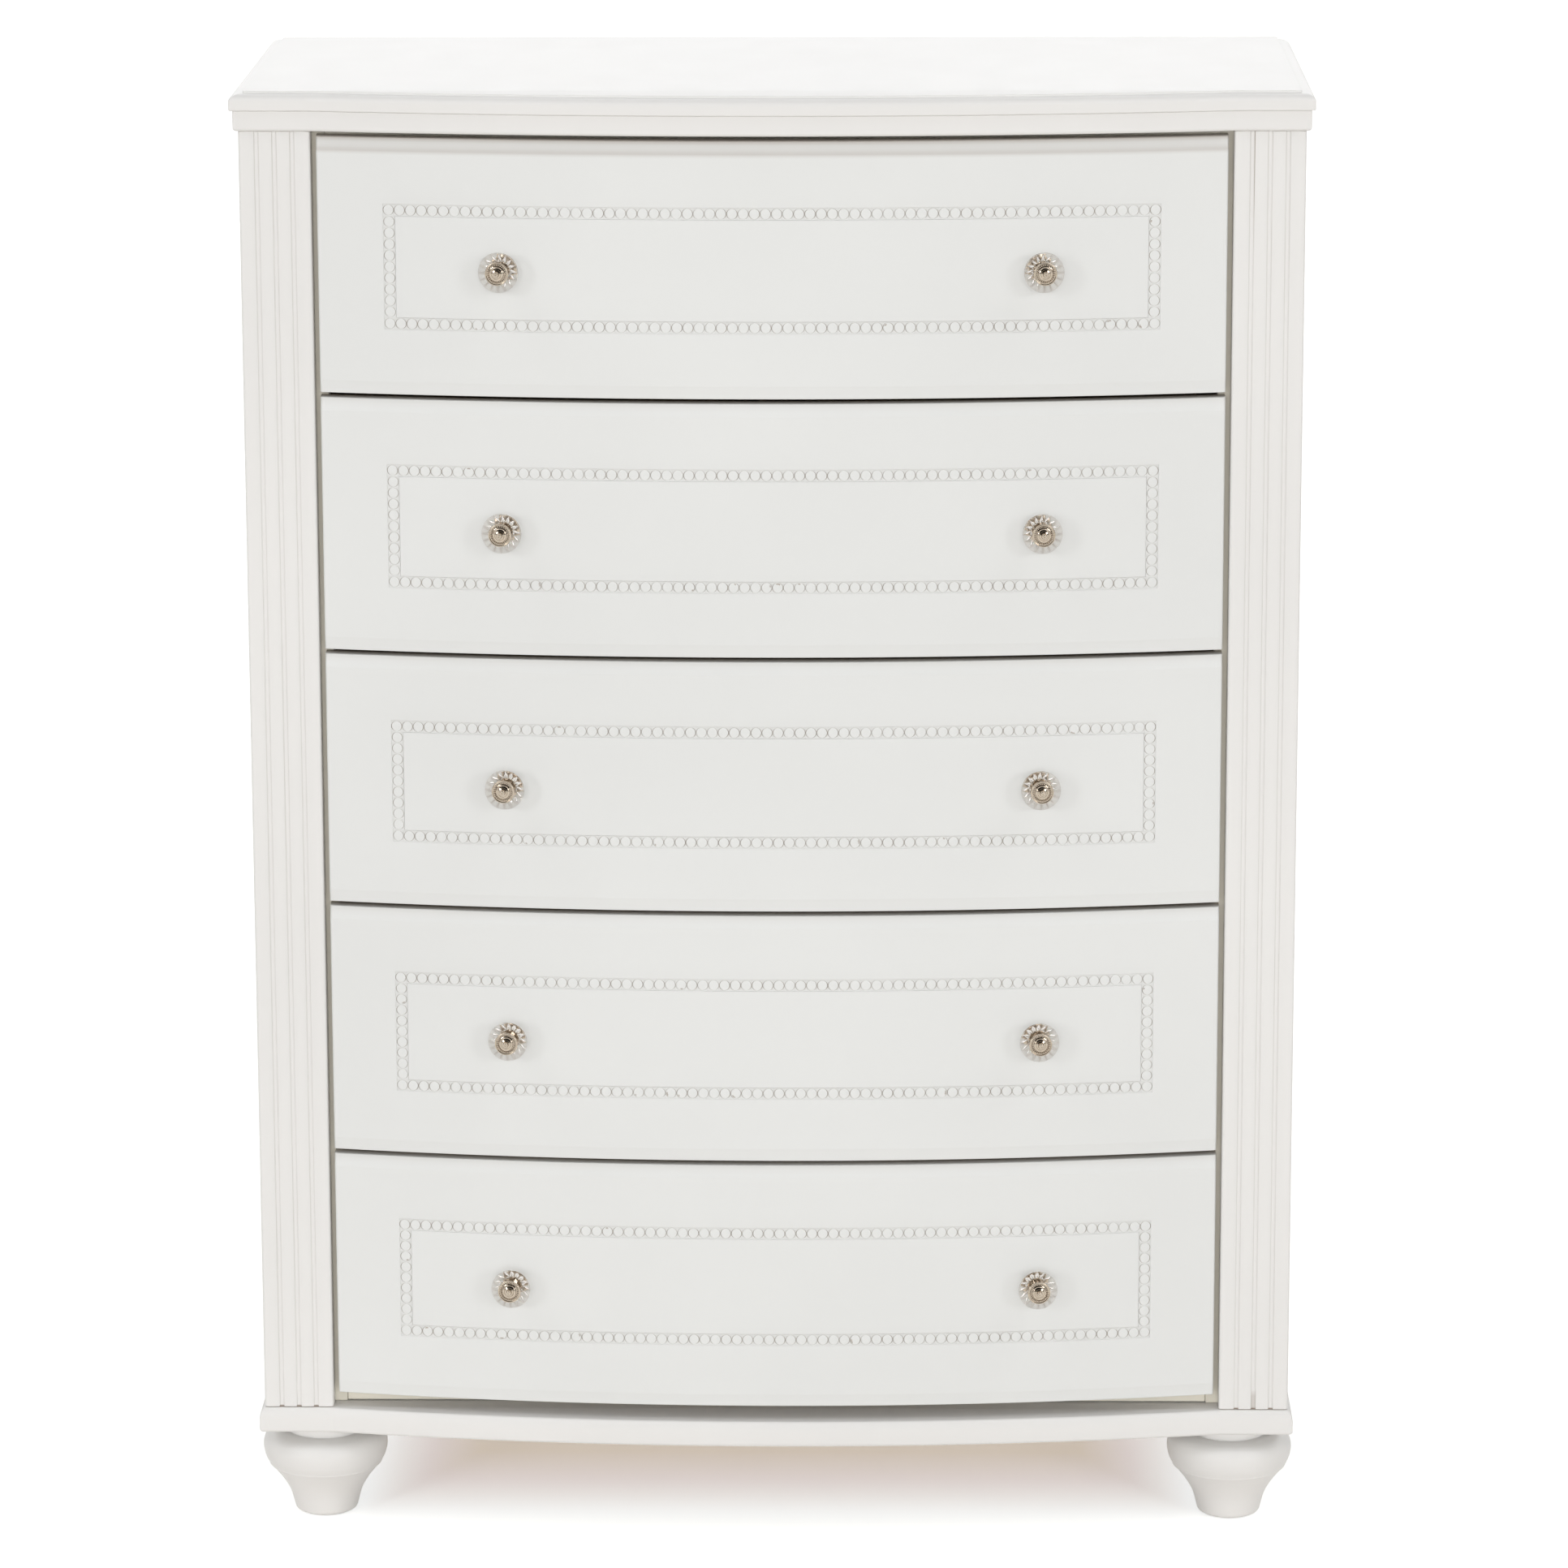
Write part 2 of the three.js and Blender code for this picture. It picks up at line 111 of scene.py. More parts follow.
def make_lights():
    for name, towards, level, angle, gloss in LAMPS:
        data = bpy.data.lights.new(name, "SUN")
        data.energy = level
        data.angle = math.radians(angle)
        lamp = bpy.data.objects.new(name, data)
        bpy.context.scene.collection.objects.link(lamp)
        lamp.rotation_euler = Vector(towards).to_track_quat("Z", "Y").to_euler()
        lamp.visible_glossy = gloss


def combined(tree, operation, values):
    """A chain of math nodes over two or more values."""
    total = values[0]
    for value in values[1:]:
        node = tree.nodes.new("ShaderNodeMath")
        node.operation = operation
        tree.links.new(total, node.inputs[0])
        tree.links.new(value, node.inputs[1])
        total = node.outputs["Value"]
    return total


def seen_rays(tree):
    """One for what the camera, metal and glass see of the background, nought for its light."""
    rays = tree.nodes.new("ShaderNodeLightPath").outputs
    kinds = ("Is Camera Ray", "Is Glossy Ray", "Is Transmission Ray")
    return combined(tree, "MAXIMUM", [rays[kind] for kind in kinds])


# Dark patches of the sky that only gloss picks up, as (direction, mirrored to all sides, stretch,
# angle to which it is dark, angle where it ends): the unlit room in front, and stands at the corners.
DARK_PATCHES = [
    ((0, -0.97, 0.22), False, (0.6, 1, 1), 29, 36), ((0.73, 0.68, 0.05), True, (1, 1, 1), 3, 5),
]
DARK_TONE = (0.01, 0.01, 0.01)


def sky_patch(tree, middle, mirror, shape, inner, outer):
    """One inside the angle inner round a direction of the sky, in degrees, and nought past outer."""
    nodes, links = tree.nodes, tree.links

    def vector_math(operation, source, value=None):
        node = nodes.new("ShaderNodeVectorMath")
        node.operation = operation
        links.new(source, node.inputs[0])
        if value:
            node.inputs[1].default_value = value
        return node.outputs["Value" if operation == "DOT_PRODUCT" else "Vector"]

    place = nodes.new("ShaderNodeTexCoord").outputs["Generated"]
    if mirror:
        place = vector_math("ABSOLUTE", place)
    place = vector_math("NORMALIZE", vector_math("MULTIPLY", place, shape))
    near = nodes.new("ShaderNodeMapRange")
    near.interpolation_type = "SMOOTHSTEP"
    near.inputs["From Min"].default_value = math.cos(math.radians(outer))
    near.inputs["From Max"].default_value = math.cos(math.radians(inner))
    links.new(vector_math("DOT_PRODUCT", place, Vector(middle).normalized()), near.inputs["Value"])
    return near.outputs["Result"]


def make_world():
    """White all round, with a dim room for plain light and a dark side that only gloss picks up."""
    world = bpy.data.worlds.new("studio")
    bpy.context.scene.world = world
    world.use_nodes = True
    tree = world.node_tree
    nodes, links = tree.nodes, tree.links
    nodes.clear()
    room = nodes.new("ShaderNodeBackground")
    room.inputs["Color"].default_value = (1, 1, 1, 1)
    room.inputs["Strength"].default_value = ROOM_LEVEL
    dark = combined(tree, "MAXIMUM", [sky_patch(tree, *patch) for patch in DARK_PATCHES])
    glossy = nodes.new("ShaderNodeMath")
    glossy.operation = "MULTIPLY"
    links.new(dark, glossy.inputs[0])
    links.new(nodes.new("ShaderNodeLightPath").outputs["Is Glossy Ray"], glossy.inputs[1])
    tone = nodes.new("ShaderNodeMix")
    tone.data_type = "RGBA"
    tone.inputs["A"].default_value = (1, 1, 1, 1)
    tone.inputs["B"].default_value = (*DARK_TONE, 1)
    links.new(glossy.outputs["Value"], tone.inputs["Factor"])
    white = nodes.new("ShaderNodeBackground")
    links.new(tone.outputs["Result"], white.inputs["Color"])
    mix = nodes.new("ShaderNodeMixShader")
    output = nodes.new("ShaderNodeOutputWorld")
    links.new(seen_rays(tree), mix.inputs["Fac"])
    links.new(room.outputs["Background"], mix.inputs[1])
    links.new(white.outputs["Background"], mix.inputs[2])
    links.new(mix.outputs["Shader"], output.inputs["Surface"])


# ---- Meshes ----
def new_piece(name, vertices, faces, material, crease=32, body="cabinet", replaces=(), slot=None,
              dirt_and_shade=None):
    """One closed mesh, smooth except at edges sharper than crease degrees, riding on its body."""
    mesh = bpy.data.meshes.new(name)
    mesh.from_pydata(vertices, [], faces)
    # dirt and painted shade at each point, which the materials read
    if dirt_and_shade:
        mesh.attributes.new("dirt_and_shade", "FLOAT", "POINT").data.foreach_set("value", dirt_and_shade)
    piece = bpy.data.objects.new(name, mesh)
    bpy.context.scene.collection.objects.link(piece)
    work = bmesh.new()
    work.from_mesh(mesh)
    bmesh.ops.recalc_face_normals(work, faces=work.faces)
    for face in work.faces:
        face.smooth = True
    for edge in work.edges:
        edge.smooth = len(edge.link_faces) != 2 or edge.calc_face_angle(0) < math.radians(crease)
    work.to_mesh(mesh)
    work.free()
    mesh.materials.append(material)
    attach(piece, body)
    for node in replaces:
        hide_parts(node)
    return piece


def skin(rings):
    """Vertices and faces of a closed solid through rings of equal length, with flat ends."""
    count = len(rings[0])
    vertices = [point for ring in rings for point in ring]
    faces = [list(range(count))[::-1], [(len(rings) - 1) * count + i for i in range(count)]]
    for ring in range(len(rings) - 1):
        for i in range(count):
            a, b = ring * count + i, ring * count + (i + 1) % count
            faces.append([a, b, b + count, a + count])
    return vertices, faces


def turned(profile, segments):
    """A turned solid; the profile lists (radius, height) in millimetres, both ends on the axis."""
    bottom, *middle, top = [(radius * MM, height * MM) for radius, height in profile]
    vertices = [(0, 0, bottom[1])]
    for radius, height in middle:
        for i in range(segments):
            angle = 2 * math.pi * i / segments
            vertices.append((radius * math.cos(angle), radius * math.sin(angle), height))
    vertices.append((0, 0, top[1]))
    last = len(vertices) - 1
    faces = []
    for i in range(segments):
        j = (i + 1) % segments
        faces.append([0, 1 + j, 1 + i])
        faces.append([last, last - segments + i, last - segments + j])
        for ring in range(len(middle) - 1):
            a, b = 1 + ring * segments + i, 1 + ring * segments + j
            faces.append([a, b, b + segments, a + segments])
    return vertices, faces


def moved(solid, matrix):
    vertices, faces = solid
    return [tuple(matrix @ Vector(v)) for v in vertices], faces


def joined(*solids):
    vertices, faces = [], []
    for more_vertices, more_faces in solids:
        start = len(vertices)
        vertices += more_vertices
        faces += [[start + i for i in face] for face in more_faces]
    return vertices, faces


def spread(start, end, steps):
    return [start + (end - start) * i / steps for i in range(steps + 1)]


def fade(value, start, end):
    """Nought up to start, one from end on, and even between; start may be the larger."""
    return min(1, max(0, (value - start) / (end - start)))


def arc(centre, radii, start, end, steps):
    """Points of an elliptic arc, angles in degrees."""
    return [
        (centre[0] + radii[0] * math.cos(math.radians(a)), centre[1] + radii[1] * math.sin(math.radians(a)))
        for a in spread(start, end, steps)
    ]


def flowing(points, steps=6):
    """A smooth curve through the points (Catmull-Rom)."""
    padded = [points[0], *points, points[-1]]
    curve = []
    for p0, p1, p2, p3 in zip(padded, padded[1:], padded[2:], padded[3:]):
        for i in range(steps):
            t = i / steps
            curve.append(tuple(
                0.5 * (2 * b + (c - a) * t + (2 * a - 5 * b + 4 * c - d) * t * t
                       + (3 * b - a - 3 * c + d) * t ** 3)
                for a, b, c, d in zip(p0, p1, p2, p3)
            ))
    return curve + [points[-1]]


def bow(x, half):
    """How far the bow over the span stands forward at x."""
    if abs(x) >= half:
        return 0
    radius = (half * half + BOW_RISE * BOW_RISE) / (2 * BOW_RISE)
    return math.sqrt(radius * radius - x * x) - (radius - BOW_RISE)


# ---- Materials ----
def rgba(color):
    return (*color, 1)


def color_ramp(tree, value, stops):
    """The stops list (position, colour) in rising order."""
    node = tree.nodes.new("ShaderNodeValToRGB")
    elements = node.color_ramp.elements
    while len(elements) < len(stops):
        elements.new(0.5)
    for element, (position, color) in zip(elements, stops):
        element.position = position
        element.color = rgba(color)
    tree.links.new(value, node.inputs["Fac"])
    return node.outputs["Color"]


class Recipe:
    """A Principled material and the texture nodes that feed it."""

    def __init__(self, name, color, roughness, metallic=0.0):
        self.material = bpy.data.materials.new(name)
        self.material.use_nodes = True
        self.tree = self.material.node_tree
        self.shader = self.tree.nodes["Principled BSDF"]
        self.shader.inputs["Base Color"].default_value = rgba(color)
        self.shader.inputs["Roughness"].default_value = roughness
        self.shader.inputs["Metallic"].default_value = metallic
        self.place = self.tree.nodes.new("ShaderNodeTexCoord").outputs["Object"]

    def link(self, output, target):
        self.tree.links.new(output, target)

    def stretched(self, scale):
        node = self.tree.nodes.new("ShaderNodeMapping")
        node.inputs["Scale"].default_value = scale
        self.link(self.place, node.inputs["Vector"])
        return node.outputs["Vector"]

    def stretched_by_facing(self, scale, crosswise):
        """The first stretch, and the second on faces that look along Y."""
        axes = self.tree.nodes.new("ShaderNodeSeparateXYZ")
        self.link(self.tree.nodes.new("ShaderNodeTexCoord").outputs["Normal"], axes.inputs["Vector"])
        steep = self.tree.nodes.new("ShaderNodeMath")
        steep.operation = "ABSOLUTE"
        self.link(axes.outputs["Y"], steep.inputs[0])
        facing = self.tree.nodes.new("ShaderNodeMath")
        facing.operation = "GREATER_THAN"
        facing.inputs[1].default_value = 0.5
        self.link(steep.outputs["Value"], facing.inputs[0])
        node = self.tree.nodes.new("ShaderNodeMix")
        node.data_type = "VECTOR"
        self.link(facing.outputs["Value"], node.inputs["Factor"])
        self.link(self.stretched(scale), node.inputs["A"])
        self.link(self.stretched(crosswise), node.inputs["B"])
        return node.outputs["Result"]

    def noise(self, scale, detail=4, roughness=0.5, place=None, distortion=0):
        node = self.tree.nodes.new("ShaderNodeTexNoise")
        node.inputs["Scale"].default_value = scale
        node.inputs["Detail"].default_value = detail
        node.inputs["Roughness"].default_value = roughness
        node.inputs["Distortion"].default_value = distortion
        self.link(place or self.place, node.inputs["Vector"])
        return node.outputs["Fac"]

    def attribute(self, name):
        node = self.tree.nodes.new("ShaderNodeAttribute")
        node.attribute_name = name
        return node.outputs["Fac"]

    def remap(self, value, low, high, to_low=0.0, to_high=1.0):
        node = self.tree.nodes.new("ShaderNodeMapRange")
        node.inputs["From Min"].default_value = low
        node.inputs["From Max"].default_value = high
        node.inputs["To Min"].default_value = to_low
        node.inputs["To Max"].default_value = to_high
        self.link(value, node.inputs["Value"])
        return node.outputs["Result"]

    def ramp(self, value, stops):
        return color_ramp(self.tree, value, stops)

    def mixed(self, factor, below, above):
        node = self.tree.nodes.new("ShaderNodeMix")
        node.data_type = "RGBA"
        for socket, value in ((node.inputs["Factor"], factor), (node.inputs["A"], below),
                              (node.inputs["B"], above)):
            if isinstance(value, bpy.types.NodeSocket):
                self.link(value, socket)
            else:
                socket.default_value = value
        return node.outputs["Result"]

    def color(self, output):
        self.link(output, self.shader.inputs["Base Color"])

    def roughness(self, output):
        self.link(output, self.shader.inputs["Roughness"])

    def bump(self, height, distance):
        node = self.tree.nodes.new("ShaderNodeBump")
        node.inputs["Distance"].default_value = distance
        node.inputs["Strength"].default_value = 1
        self.link(height, node.inputs["Height"])
        self.link(node.outputs["Normal"], self.shader.inputs["Normal"])


# tone of the dirt and painted shade on the paint
PAINT_DIRT_AND_SHADE = (0.27, 0.2, 0.14)
PAINT_CLOUDING = 0.965                     # share of the paint's tone left where it is darkest
ORANGE_PEEL = 0.04 * MM


def white_paint(name, tone):
    """Sprayed satin paint: faint clouding, orange peel, and dirt and painted shade where the mesh says so.
    """
    recipe = Recipe(name, tone, 0.4)
    darker = tuple(c * PAINT_CLOUDING for c in tone)
    clouds = recipe.remap(recipe.noise(2.6, 5), 0.35, 0.65)
    painted = recipe.mixed(clouds, rgba(tone), rgba(darker))
    darkened = recipe.mixed(recipe.attribute("dirt_and_shade"), painted, rgba(PAINT_DIRT_AND_SHADE))
    recipe.color(darkened)
    recipe.roughness(recipe.remap(recipe.noise(30, 6), 0.3, 0.7, 0.385, 0.42))
    recipe.bump(recipe.noise(420, 2), ORANGE_PEEL)
    return recipe.material


WOOD_GRAIN_DEPTH = 0.1 * MM


def bare_wood(name, pale, dark, scale, crosswise=None):
    """Clear-lacquered boards, the grain along the axis whose scale is small."""
    recipe = Recipe(name, pale, 0.5)
    along = recipe.stretched_by_facing(scale, crosswise) if crosswise else recipe.stretched(scale)
    figure = recipe.noise(9, 6, 0.6, along, 0.8)
    fibres = recipe.noise(60, 3, 0.6, along)
    medium = tuple((a + b) / 2 for a, b in zip(pale, dark))
    tone = recipe.ramp(figure, [(0.3, pale), (0.5, medium), (0.72, dark)])
    recipe.color(recipe.mixed(recipe.remap(fibres, 0.4, 0.75, 0, 0.35), tone, rgba(dark)))
    recipe.roughness(recipe.remap(fibres, 0.3, 0.7, 0.42, 0.6))
    recipe.bump(fibres, WOOD_GRAIN_DEPTH)
    return recipe.material


GLASS_TINT = (0.965, 0.95, 0.935)
GLASS_PAINTED_SHADE = (0.66, 0.6, 0.54)
GLASS_IOR = 1.15                           # low, as the knobs look pale and hardly bend what is behind
GLASS_WAVES = 0.03 * MM


def clear_glass():
    """Pressed glass, a little wavy, with painted shade in its valleys and a faint tint on its rim."""
    recipe = Recipe("knob_glass", GLASS_TINT, 0.02)
    recipe.color(recipe.mixed(recipe.attribute("dirt_and_shade"), rgba(GLASS_TINT), rgba(GLASS_PAINTED_SHADE)))
    recipe.shader.inputs["Transmission Weight"].default_value = 1
    recipe.shader.inputs["IOR"].default_value = GLASS_IOR
    recipe.bump(recipe.noise(300, 2), GLASS_WAVES)
    return recipe.material


def warm_nickel():
    """Polished plating with a fine mottle."""
    recipe = Recipe("warm_nickel", (0.58, 0.49, 0.41), 0.12, 1)
    tones = [(0.35, (0.53, 0.46, 0.38)), (0.7, (0.43, 0.365, 0.29))]
    recipe.color(recipe.ramp(recipe.noise(500, 4), tones))
    recipe.roughness(recipe.remap(recipe.noise(700, 3), 0.3, 0.7, 0.06, 0.2))
    return recipe.material


def nail_steel():
    """Dull bare steel, spotted brown."""
    recipe = Recipe("nail_steel", (0.36, 0.35, 0.33), 0.4, 1)
    tones = [(0.35, (0.42, 0.41, 0.39)), (0.7, (0.27, 0.25, 0.23))]
    recipe.color(recipe.ramp(recipe.noise(900, 3), tones))
    recipe.roughness(recipe.remap(recipe.noise(600, 3), 0.3, 0.7, 0.3, 0.5))
    return recipe.material


def make_materials():
    return {
        "fronts": white_paint("paint_fronts", (0.79, 0.80, 0.788)),
        "cabinet": white_paint("paint_cabinet", (0.825, 0.817, 0.80)),
        # lighter and more olive than the cabinet's paint: painted light and bounce in the slots and gaps
        # round the drawers
        "frame": white_paint("paint_frame_slot_light", (0.86, 0.82, 0.71)),
        "sides": bare_wood("drawer_sides", (0.62, 0.48, 0.32), (0.46, 0.32, 0.18), (14, 1, 14),
                           crosswise=(1, 14, 14)),
        "runners": bare_wood("runner_wood", (0.56, 0.42, 0.27), (0.42, 0.29, 0.16), (14, 1, 14)),
        "boards": bare_wood("thin_board", (0.60, 0.46, 0.30), (0.43, 0.30, 0.175), (0.6, 9, 9)),
        "glass": clear_glass(),
        "nickel": warm_nickel(),
        "steel": nail_steel(),
    }


FLOOR_HALF = 30
PAPER = (0.9, 0.855, 0.81)
# What the seen floor adds to its own light, from under the chest to the open floor; it is less and warmer
# under the chest, a painted shadow there.
FLOOR_GLOW_AND_PAINTED_SHADOW = [
    (0.03, (0.26, 0.21, 0.16)), (0.37, (0.345, 0.305, 0.31)), (0.565, (0.43, 0.425, 0.43)),
    (0.765, (0.54, 0.57, 0.59)), (0.96, (0.6, 0.63, 0.64)),
]
# Where that glow starts and is whole, along each way out from under the chest, bounding its painted shadow.
GLOW_AHEAD, GLOW_BEHIND, GLOW_ASIDE = (0.05, -0.18), (0.18, 0.36), (0.27, 0.4)


def floor_glow_and_painted_shadow(tree):
    """Tone of the floor's glow, by its distance from under the chest; weaker and warmer under it, a painted
    shadow.
    """
    nodes, links = tree.nodes, tree.links
    axes = nodes.new("ShaderNodeSeparateXYZ")
    links.new(nodes.new("ShaderNodeTexCoord").outputs["Object"], axes.inputs["Vector"])
    aside = nodes.new("ShaderNodeMath")
    aside.operation = "ABSOLUTE"
    links.new(axes.outputs["X"], aside.inputs[0])
    reaches = []
    along = axes.outputs["Y"]
    for source, (start, end) in (
        (along, GLOW_AHEAD), (along, GLOW_BEHIND), (aside.outputs["Value"], GLOW_ASIDE),
    ):
        outside = nodes.new("ShaderNodeMapRange")
        outside.inputs["From Min"].default_value = start
        outside.inputs["From Max"].default_value = end
        links.new(source, outside.inputs["Value"])
        reaches.append(outside.outputs["Result"])
    return color_ramp(tree, combined(tree, "MAXIMUM", reaches), FLOOR_GLOW_AND_PAINTED_SHADOW)


def make_floor():
    """White paper; what is seen of it is lifted to white and keeps the chest's warm soft shadow, which the
    glow partly paints.
    """
    material = bpy.data.materials.new("studio_floor")
    material.use_nodes = True
    tree = material.node_tree
    nodes, links = tree.nodes, tree.links
    nodes.clear()
    paper = nodes.new("ShaderNodeBsdfDiffuse")
    paper.inputs["Color"].default_value = rgba(PAPER)
    glow = nodes.new("ShaderNodeEmission")
    glow.inputs["Strength"].default_value = 1
    links.new(floor_glow_and_painted_shadow(tree), glow.inputs["Color"])
    both = nodes.new("ShaderNodeAddShader")
    mix = nodes.new("ShaderNodeMixShader")
    output = nodes.new("ShaderNodeOutputMaterial")
    links.new(paper.outputs["BSDF"], both.inputs[0])
    links.new(glow.outputs["Emission"], both.inputs[1])
    links.new(seen_rays(tree), mix.inputs["Fac"])
    links.new(paper.outputs["BSDF"], mix.inputs[1])
    links.new(both.outputs["Shader"], mix.inputs[2])
    links.new(mix.outputs["Shader"], output.inputs["Surface"])
    half = FLOOR_HALF
    mesh = bpy.data.meshes.new("studio_floor")
    corners = [(-half, -half, 0), (half, -half, 0), (half, half, 0), (-half, half, 0)]
    mesh.from_pydata(corners, [], [(0, 1, 2, 3)])
    mesh.materials.append(material)
    floor = bpy.data.objects.new("studio_floor", mesh)
    bpy.context.scene.collection.objects.link(floor)


# ---- Cabinet ----
BOARD_CORNER = 1.4 * MM
BOARD_KNEE = 1.5 * MM                      # width of the bend where the bow meets the straight part


def board_outline(overhang, back, inset):
    """Plan of a board: square at the back, straight over the pilasters, bowed between them."""
    side = BODY_HALF + overhang - inset
    front = FACE_Y - overhang + inset
    r = BOARD_CORNER
    knee = PILASTER_INNER + BOARD_KNEE
    xs = [-knee, *spread(-PILASTER_INNER, PILASTER_INNER, 120), knee]
    edge = [(x, front - bow(x, PILASTER_INNER)) for x in xs]
    left = arc((-side + r, front + r), (r, r), 180, 270, 5)
    right = arc((side - r, front + r), (r, r), 270, 360, 5)
    return [(-side, back), *left, *edge, *right, (side, back)]


def moulded_board(name, node, overhang, profile, material):
    """The profile lists (inset, height above the underside), in millimetres."""
    low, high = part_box(node)
    rings = [
        [(x, y, low.z + height * MM) for x, y in board_outline(overhang * MM, high.y, inset * MM)]
        for inset, height in profile
    ]
    return new_piece(name, *skin(rings), material, replaces=[node], slot="white_paint")


# How far each board stands out past the pilasters, in millimetres.
TOP_OVERHANG, MOULDING_OVERHANG, BASE_OVERHANG = 7, 4, 4.5


def make_boards(paint):
    top = [
        (1.4, 0), *arc((1.2, 1.2), (1.2, 1.2), 260, 180, 5), (0, 7.6),
        *arc((9.6, 8), (9.6, 5.9), 180, 94, 12), (10.9, 14.0), (11.2, 14.1), (11.25, 15.2),
        *arc((12, 15.2), (0.75, 0.6), 180, 90, 4),
    ]
    moulding = [
        (3.2, 0), *arc((3.0, 3.0), (3.0, 3.0), 250, 180, 8), (0, 16.6),
        *arc((0.7, 16.6), (0.7, 0.8), 180, 90, 4),
    ]
    base = [
        (3.4, 0), *arc((3.2, 3.2), (3.2, 3.2), 250, 180, 7), (0, 11.5),
        *arc((5.0, 12), (5.0, 10.2), 180, 92, 12),
    ]
    moulded_board("top_board_moulded", "top_board", TOP_OVERHANG, top, paint)
    moulded_board("top_moulding_moulded", "top_moulding", MOULDING_OVERHANG, moulding, paint)
    moulded_board("base_board_moulded", "base_board", BASE_OVERHANG, base, paint)


# Darkening at the points across a flute, which has one more point of the face at each side.
FLUTE_EDGE_DARKENING = [0.14, 0.2, 0.1, 0, 0, 0, 0, 0, 0.1, 0.2, 0.14]
POINTS_PER_FLUTE = len(FLUTE_EDGE_DARKENING) + 2
FLUTES = 3
FLUTE_ARRIS = (0.35 * MM, 0.2 * MM)        # width and depth of the eased edge along a flute
CORNER_STEPS = 8


def pilaster_outline():
    """Section of the right pilaster, its flutes cut into the front, with the darkening of each point."""
    inner, outer, r = PILASTER_INNER, BODY_HALF, PILASTER_ROUND
    back = pilaster_high.y
    arris, drop = FLUTE_ARRIS
    front = arc((inner + r, FACE_Y + r), (r, r), 180, 270, CORNER_STEPS)
    plain = [0.0] * (len(front) + 1)       # a rounded corner and the corner at the back
    edge_darkening = list(plain)
    for i in range(FLUTES):
        centre = (inner + outer) / 2 + (i - (FLUTES - 1) / 2) * FLUTE_PITCH
        half = FLUTE_WIDTH / 2
        front.append((centre - half - arris, FACE_Y))
        front += arc((centre, FACE_Y + drop), (half, FLUTE_DEPTH - drop), 180, 0, len(FLUTE_EDGE_DARKENING) - 1)
        front.append((centre + half + arris, FACE_Y))
        edge_darkening += [0.0, *FLUTE_EDGE_DARKENING, 0.0]
    front += arc((outer - r, FACE_Y + r), (r, r), 270, 360, CORNER_STEPS)
    return [(inner, back), *front, (outer, back)], edge_darkening + plain


TOP_DARKENING_HEIGHT = 160 * MM                # over which the flutes' darkening grows towards the top
CRACK_HEIGHT = 100 * MM                    # of the open crack at the top of the right pilaster
CRACK_DARKNESS = 1.5
FLUTE_END = (1 * MM, 0.9)                  # height and darkness of the painted shade in the notch where a flute ends
LOW_STAIN = (14 * MM, 0.3)                 # the same of a stain low in the right pilaster
CUT_END_GRIME = (0.85, 0.2)                # on the pilasters' undersides and tops


def pilaster_dirt_and_shade(edge_darkening, z, right, rng):
    """Darkening at one level of a pilaster, from that of its outline's points, with painted shade where the
    flutes end.
    """
    low, high = pilaster_low.z, pilaster_high.z
    first = edge_darkening.index(FLUTE_EDGE_DARKENING[0])
    near_top = fade(z, high - TOP_DARKENING_HEIGHT, high)
    strength = [rng.uniform(0.3, 0.7) + 0.5 * near_top for _ in range(2 * FLUTES)]
    row = []
    for i, share in enumerate(edge_darkening):
        half_flute = 2 * (i - first) // POINTS_PER_FLUTE
        row.append(share * strength[min(2 * FLUTES - 1, max(0, half_flute))])
    if right:
        crack = first + len(FLUTE_EDGE_DARKENING) - 1
        for i in (crack - 1, crack):
            row[i] = max(row[i], min(1, CRACK_DARKNESS * fade(z, high - CRACK_HEIGHT, high)))
    for flute in range(FLUTES):
        start = first + flute * POINTS_PER_FLUTE
        for i in range(start, start + len(FLUTE_EDGE_DARKENING)):
            if z < low + FLUTE_END[0]:
                row[i] = FLUTE_END[1]
            elif z < low + LOW_STAIN[0] and right and flute == 1:
                row[i] = LOW_STAIN[1]
    return row


def make_pilasters(paint):
    """Each darker along its flutes' edges, most near the top, with painted shade where the flutes end and
    an open crack high on the right one.
    """
    rng = random.Random(3)
    outline, edge_darkening = pilaster_outline()
    low, high = pilaster_low.z, pilaster_high.z
    ease = 0.7 * MM
    half_x = (BODY_HALF - PILASTER_INNER) / 2
    half_y = (pilaster_high.y - FACE_Y) / 2
    middle_x = (PILASTER_INNER + BODY_HALF) / 2
    middle_y = (FACE_Y + pilaster_high.y) / 2

    def ring(z, inset):
        wide, deep = 1 - inset / half_x, 1 - inset / half_y
        return [(middle_x + (x - middle_x) * wide, middle_y + (y - middle_y) * deep, z) for x, y in outline]

    levels = [low + ease, low + 2 * MM, low + 12 * MM, low + 18 * MM, *spread(low + 0.1, high - 0.12, 9),
              *spread(high - 0.1, high - ease, 5)]
    vertices, faces = skin([ring(low, ease), *[ring(z, 0) for z in levels], ring(high, ease)])
    for side, sign in (("left", -1), ("right", 1)):
        under, over = ([value] * len(outline) for value in CUT_END_GRIME)
        rows = [pilaster_dirt_and_shade(edge_darkening, z, side == "right", rng) for z in levels]
        sided = [(sign * x, y, z) for x, y, z in vertices]
        new_piece(f"pilaster_{side}_fluted", sided, faces, paint, replaces=[f"pilaster_{side}"],
                  slot="white_paint", dirt_and_shade=sum(rows, under) + over)


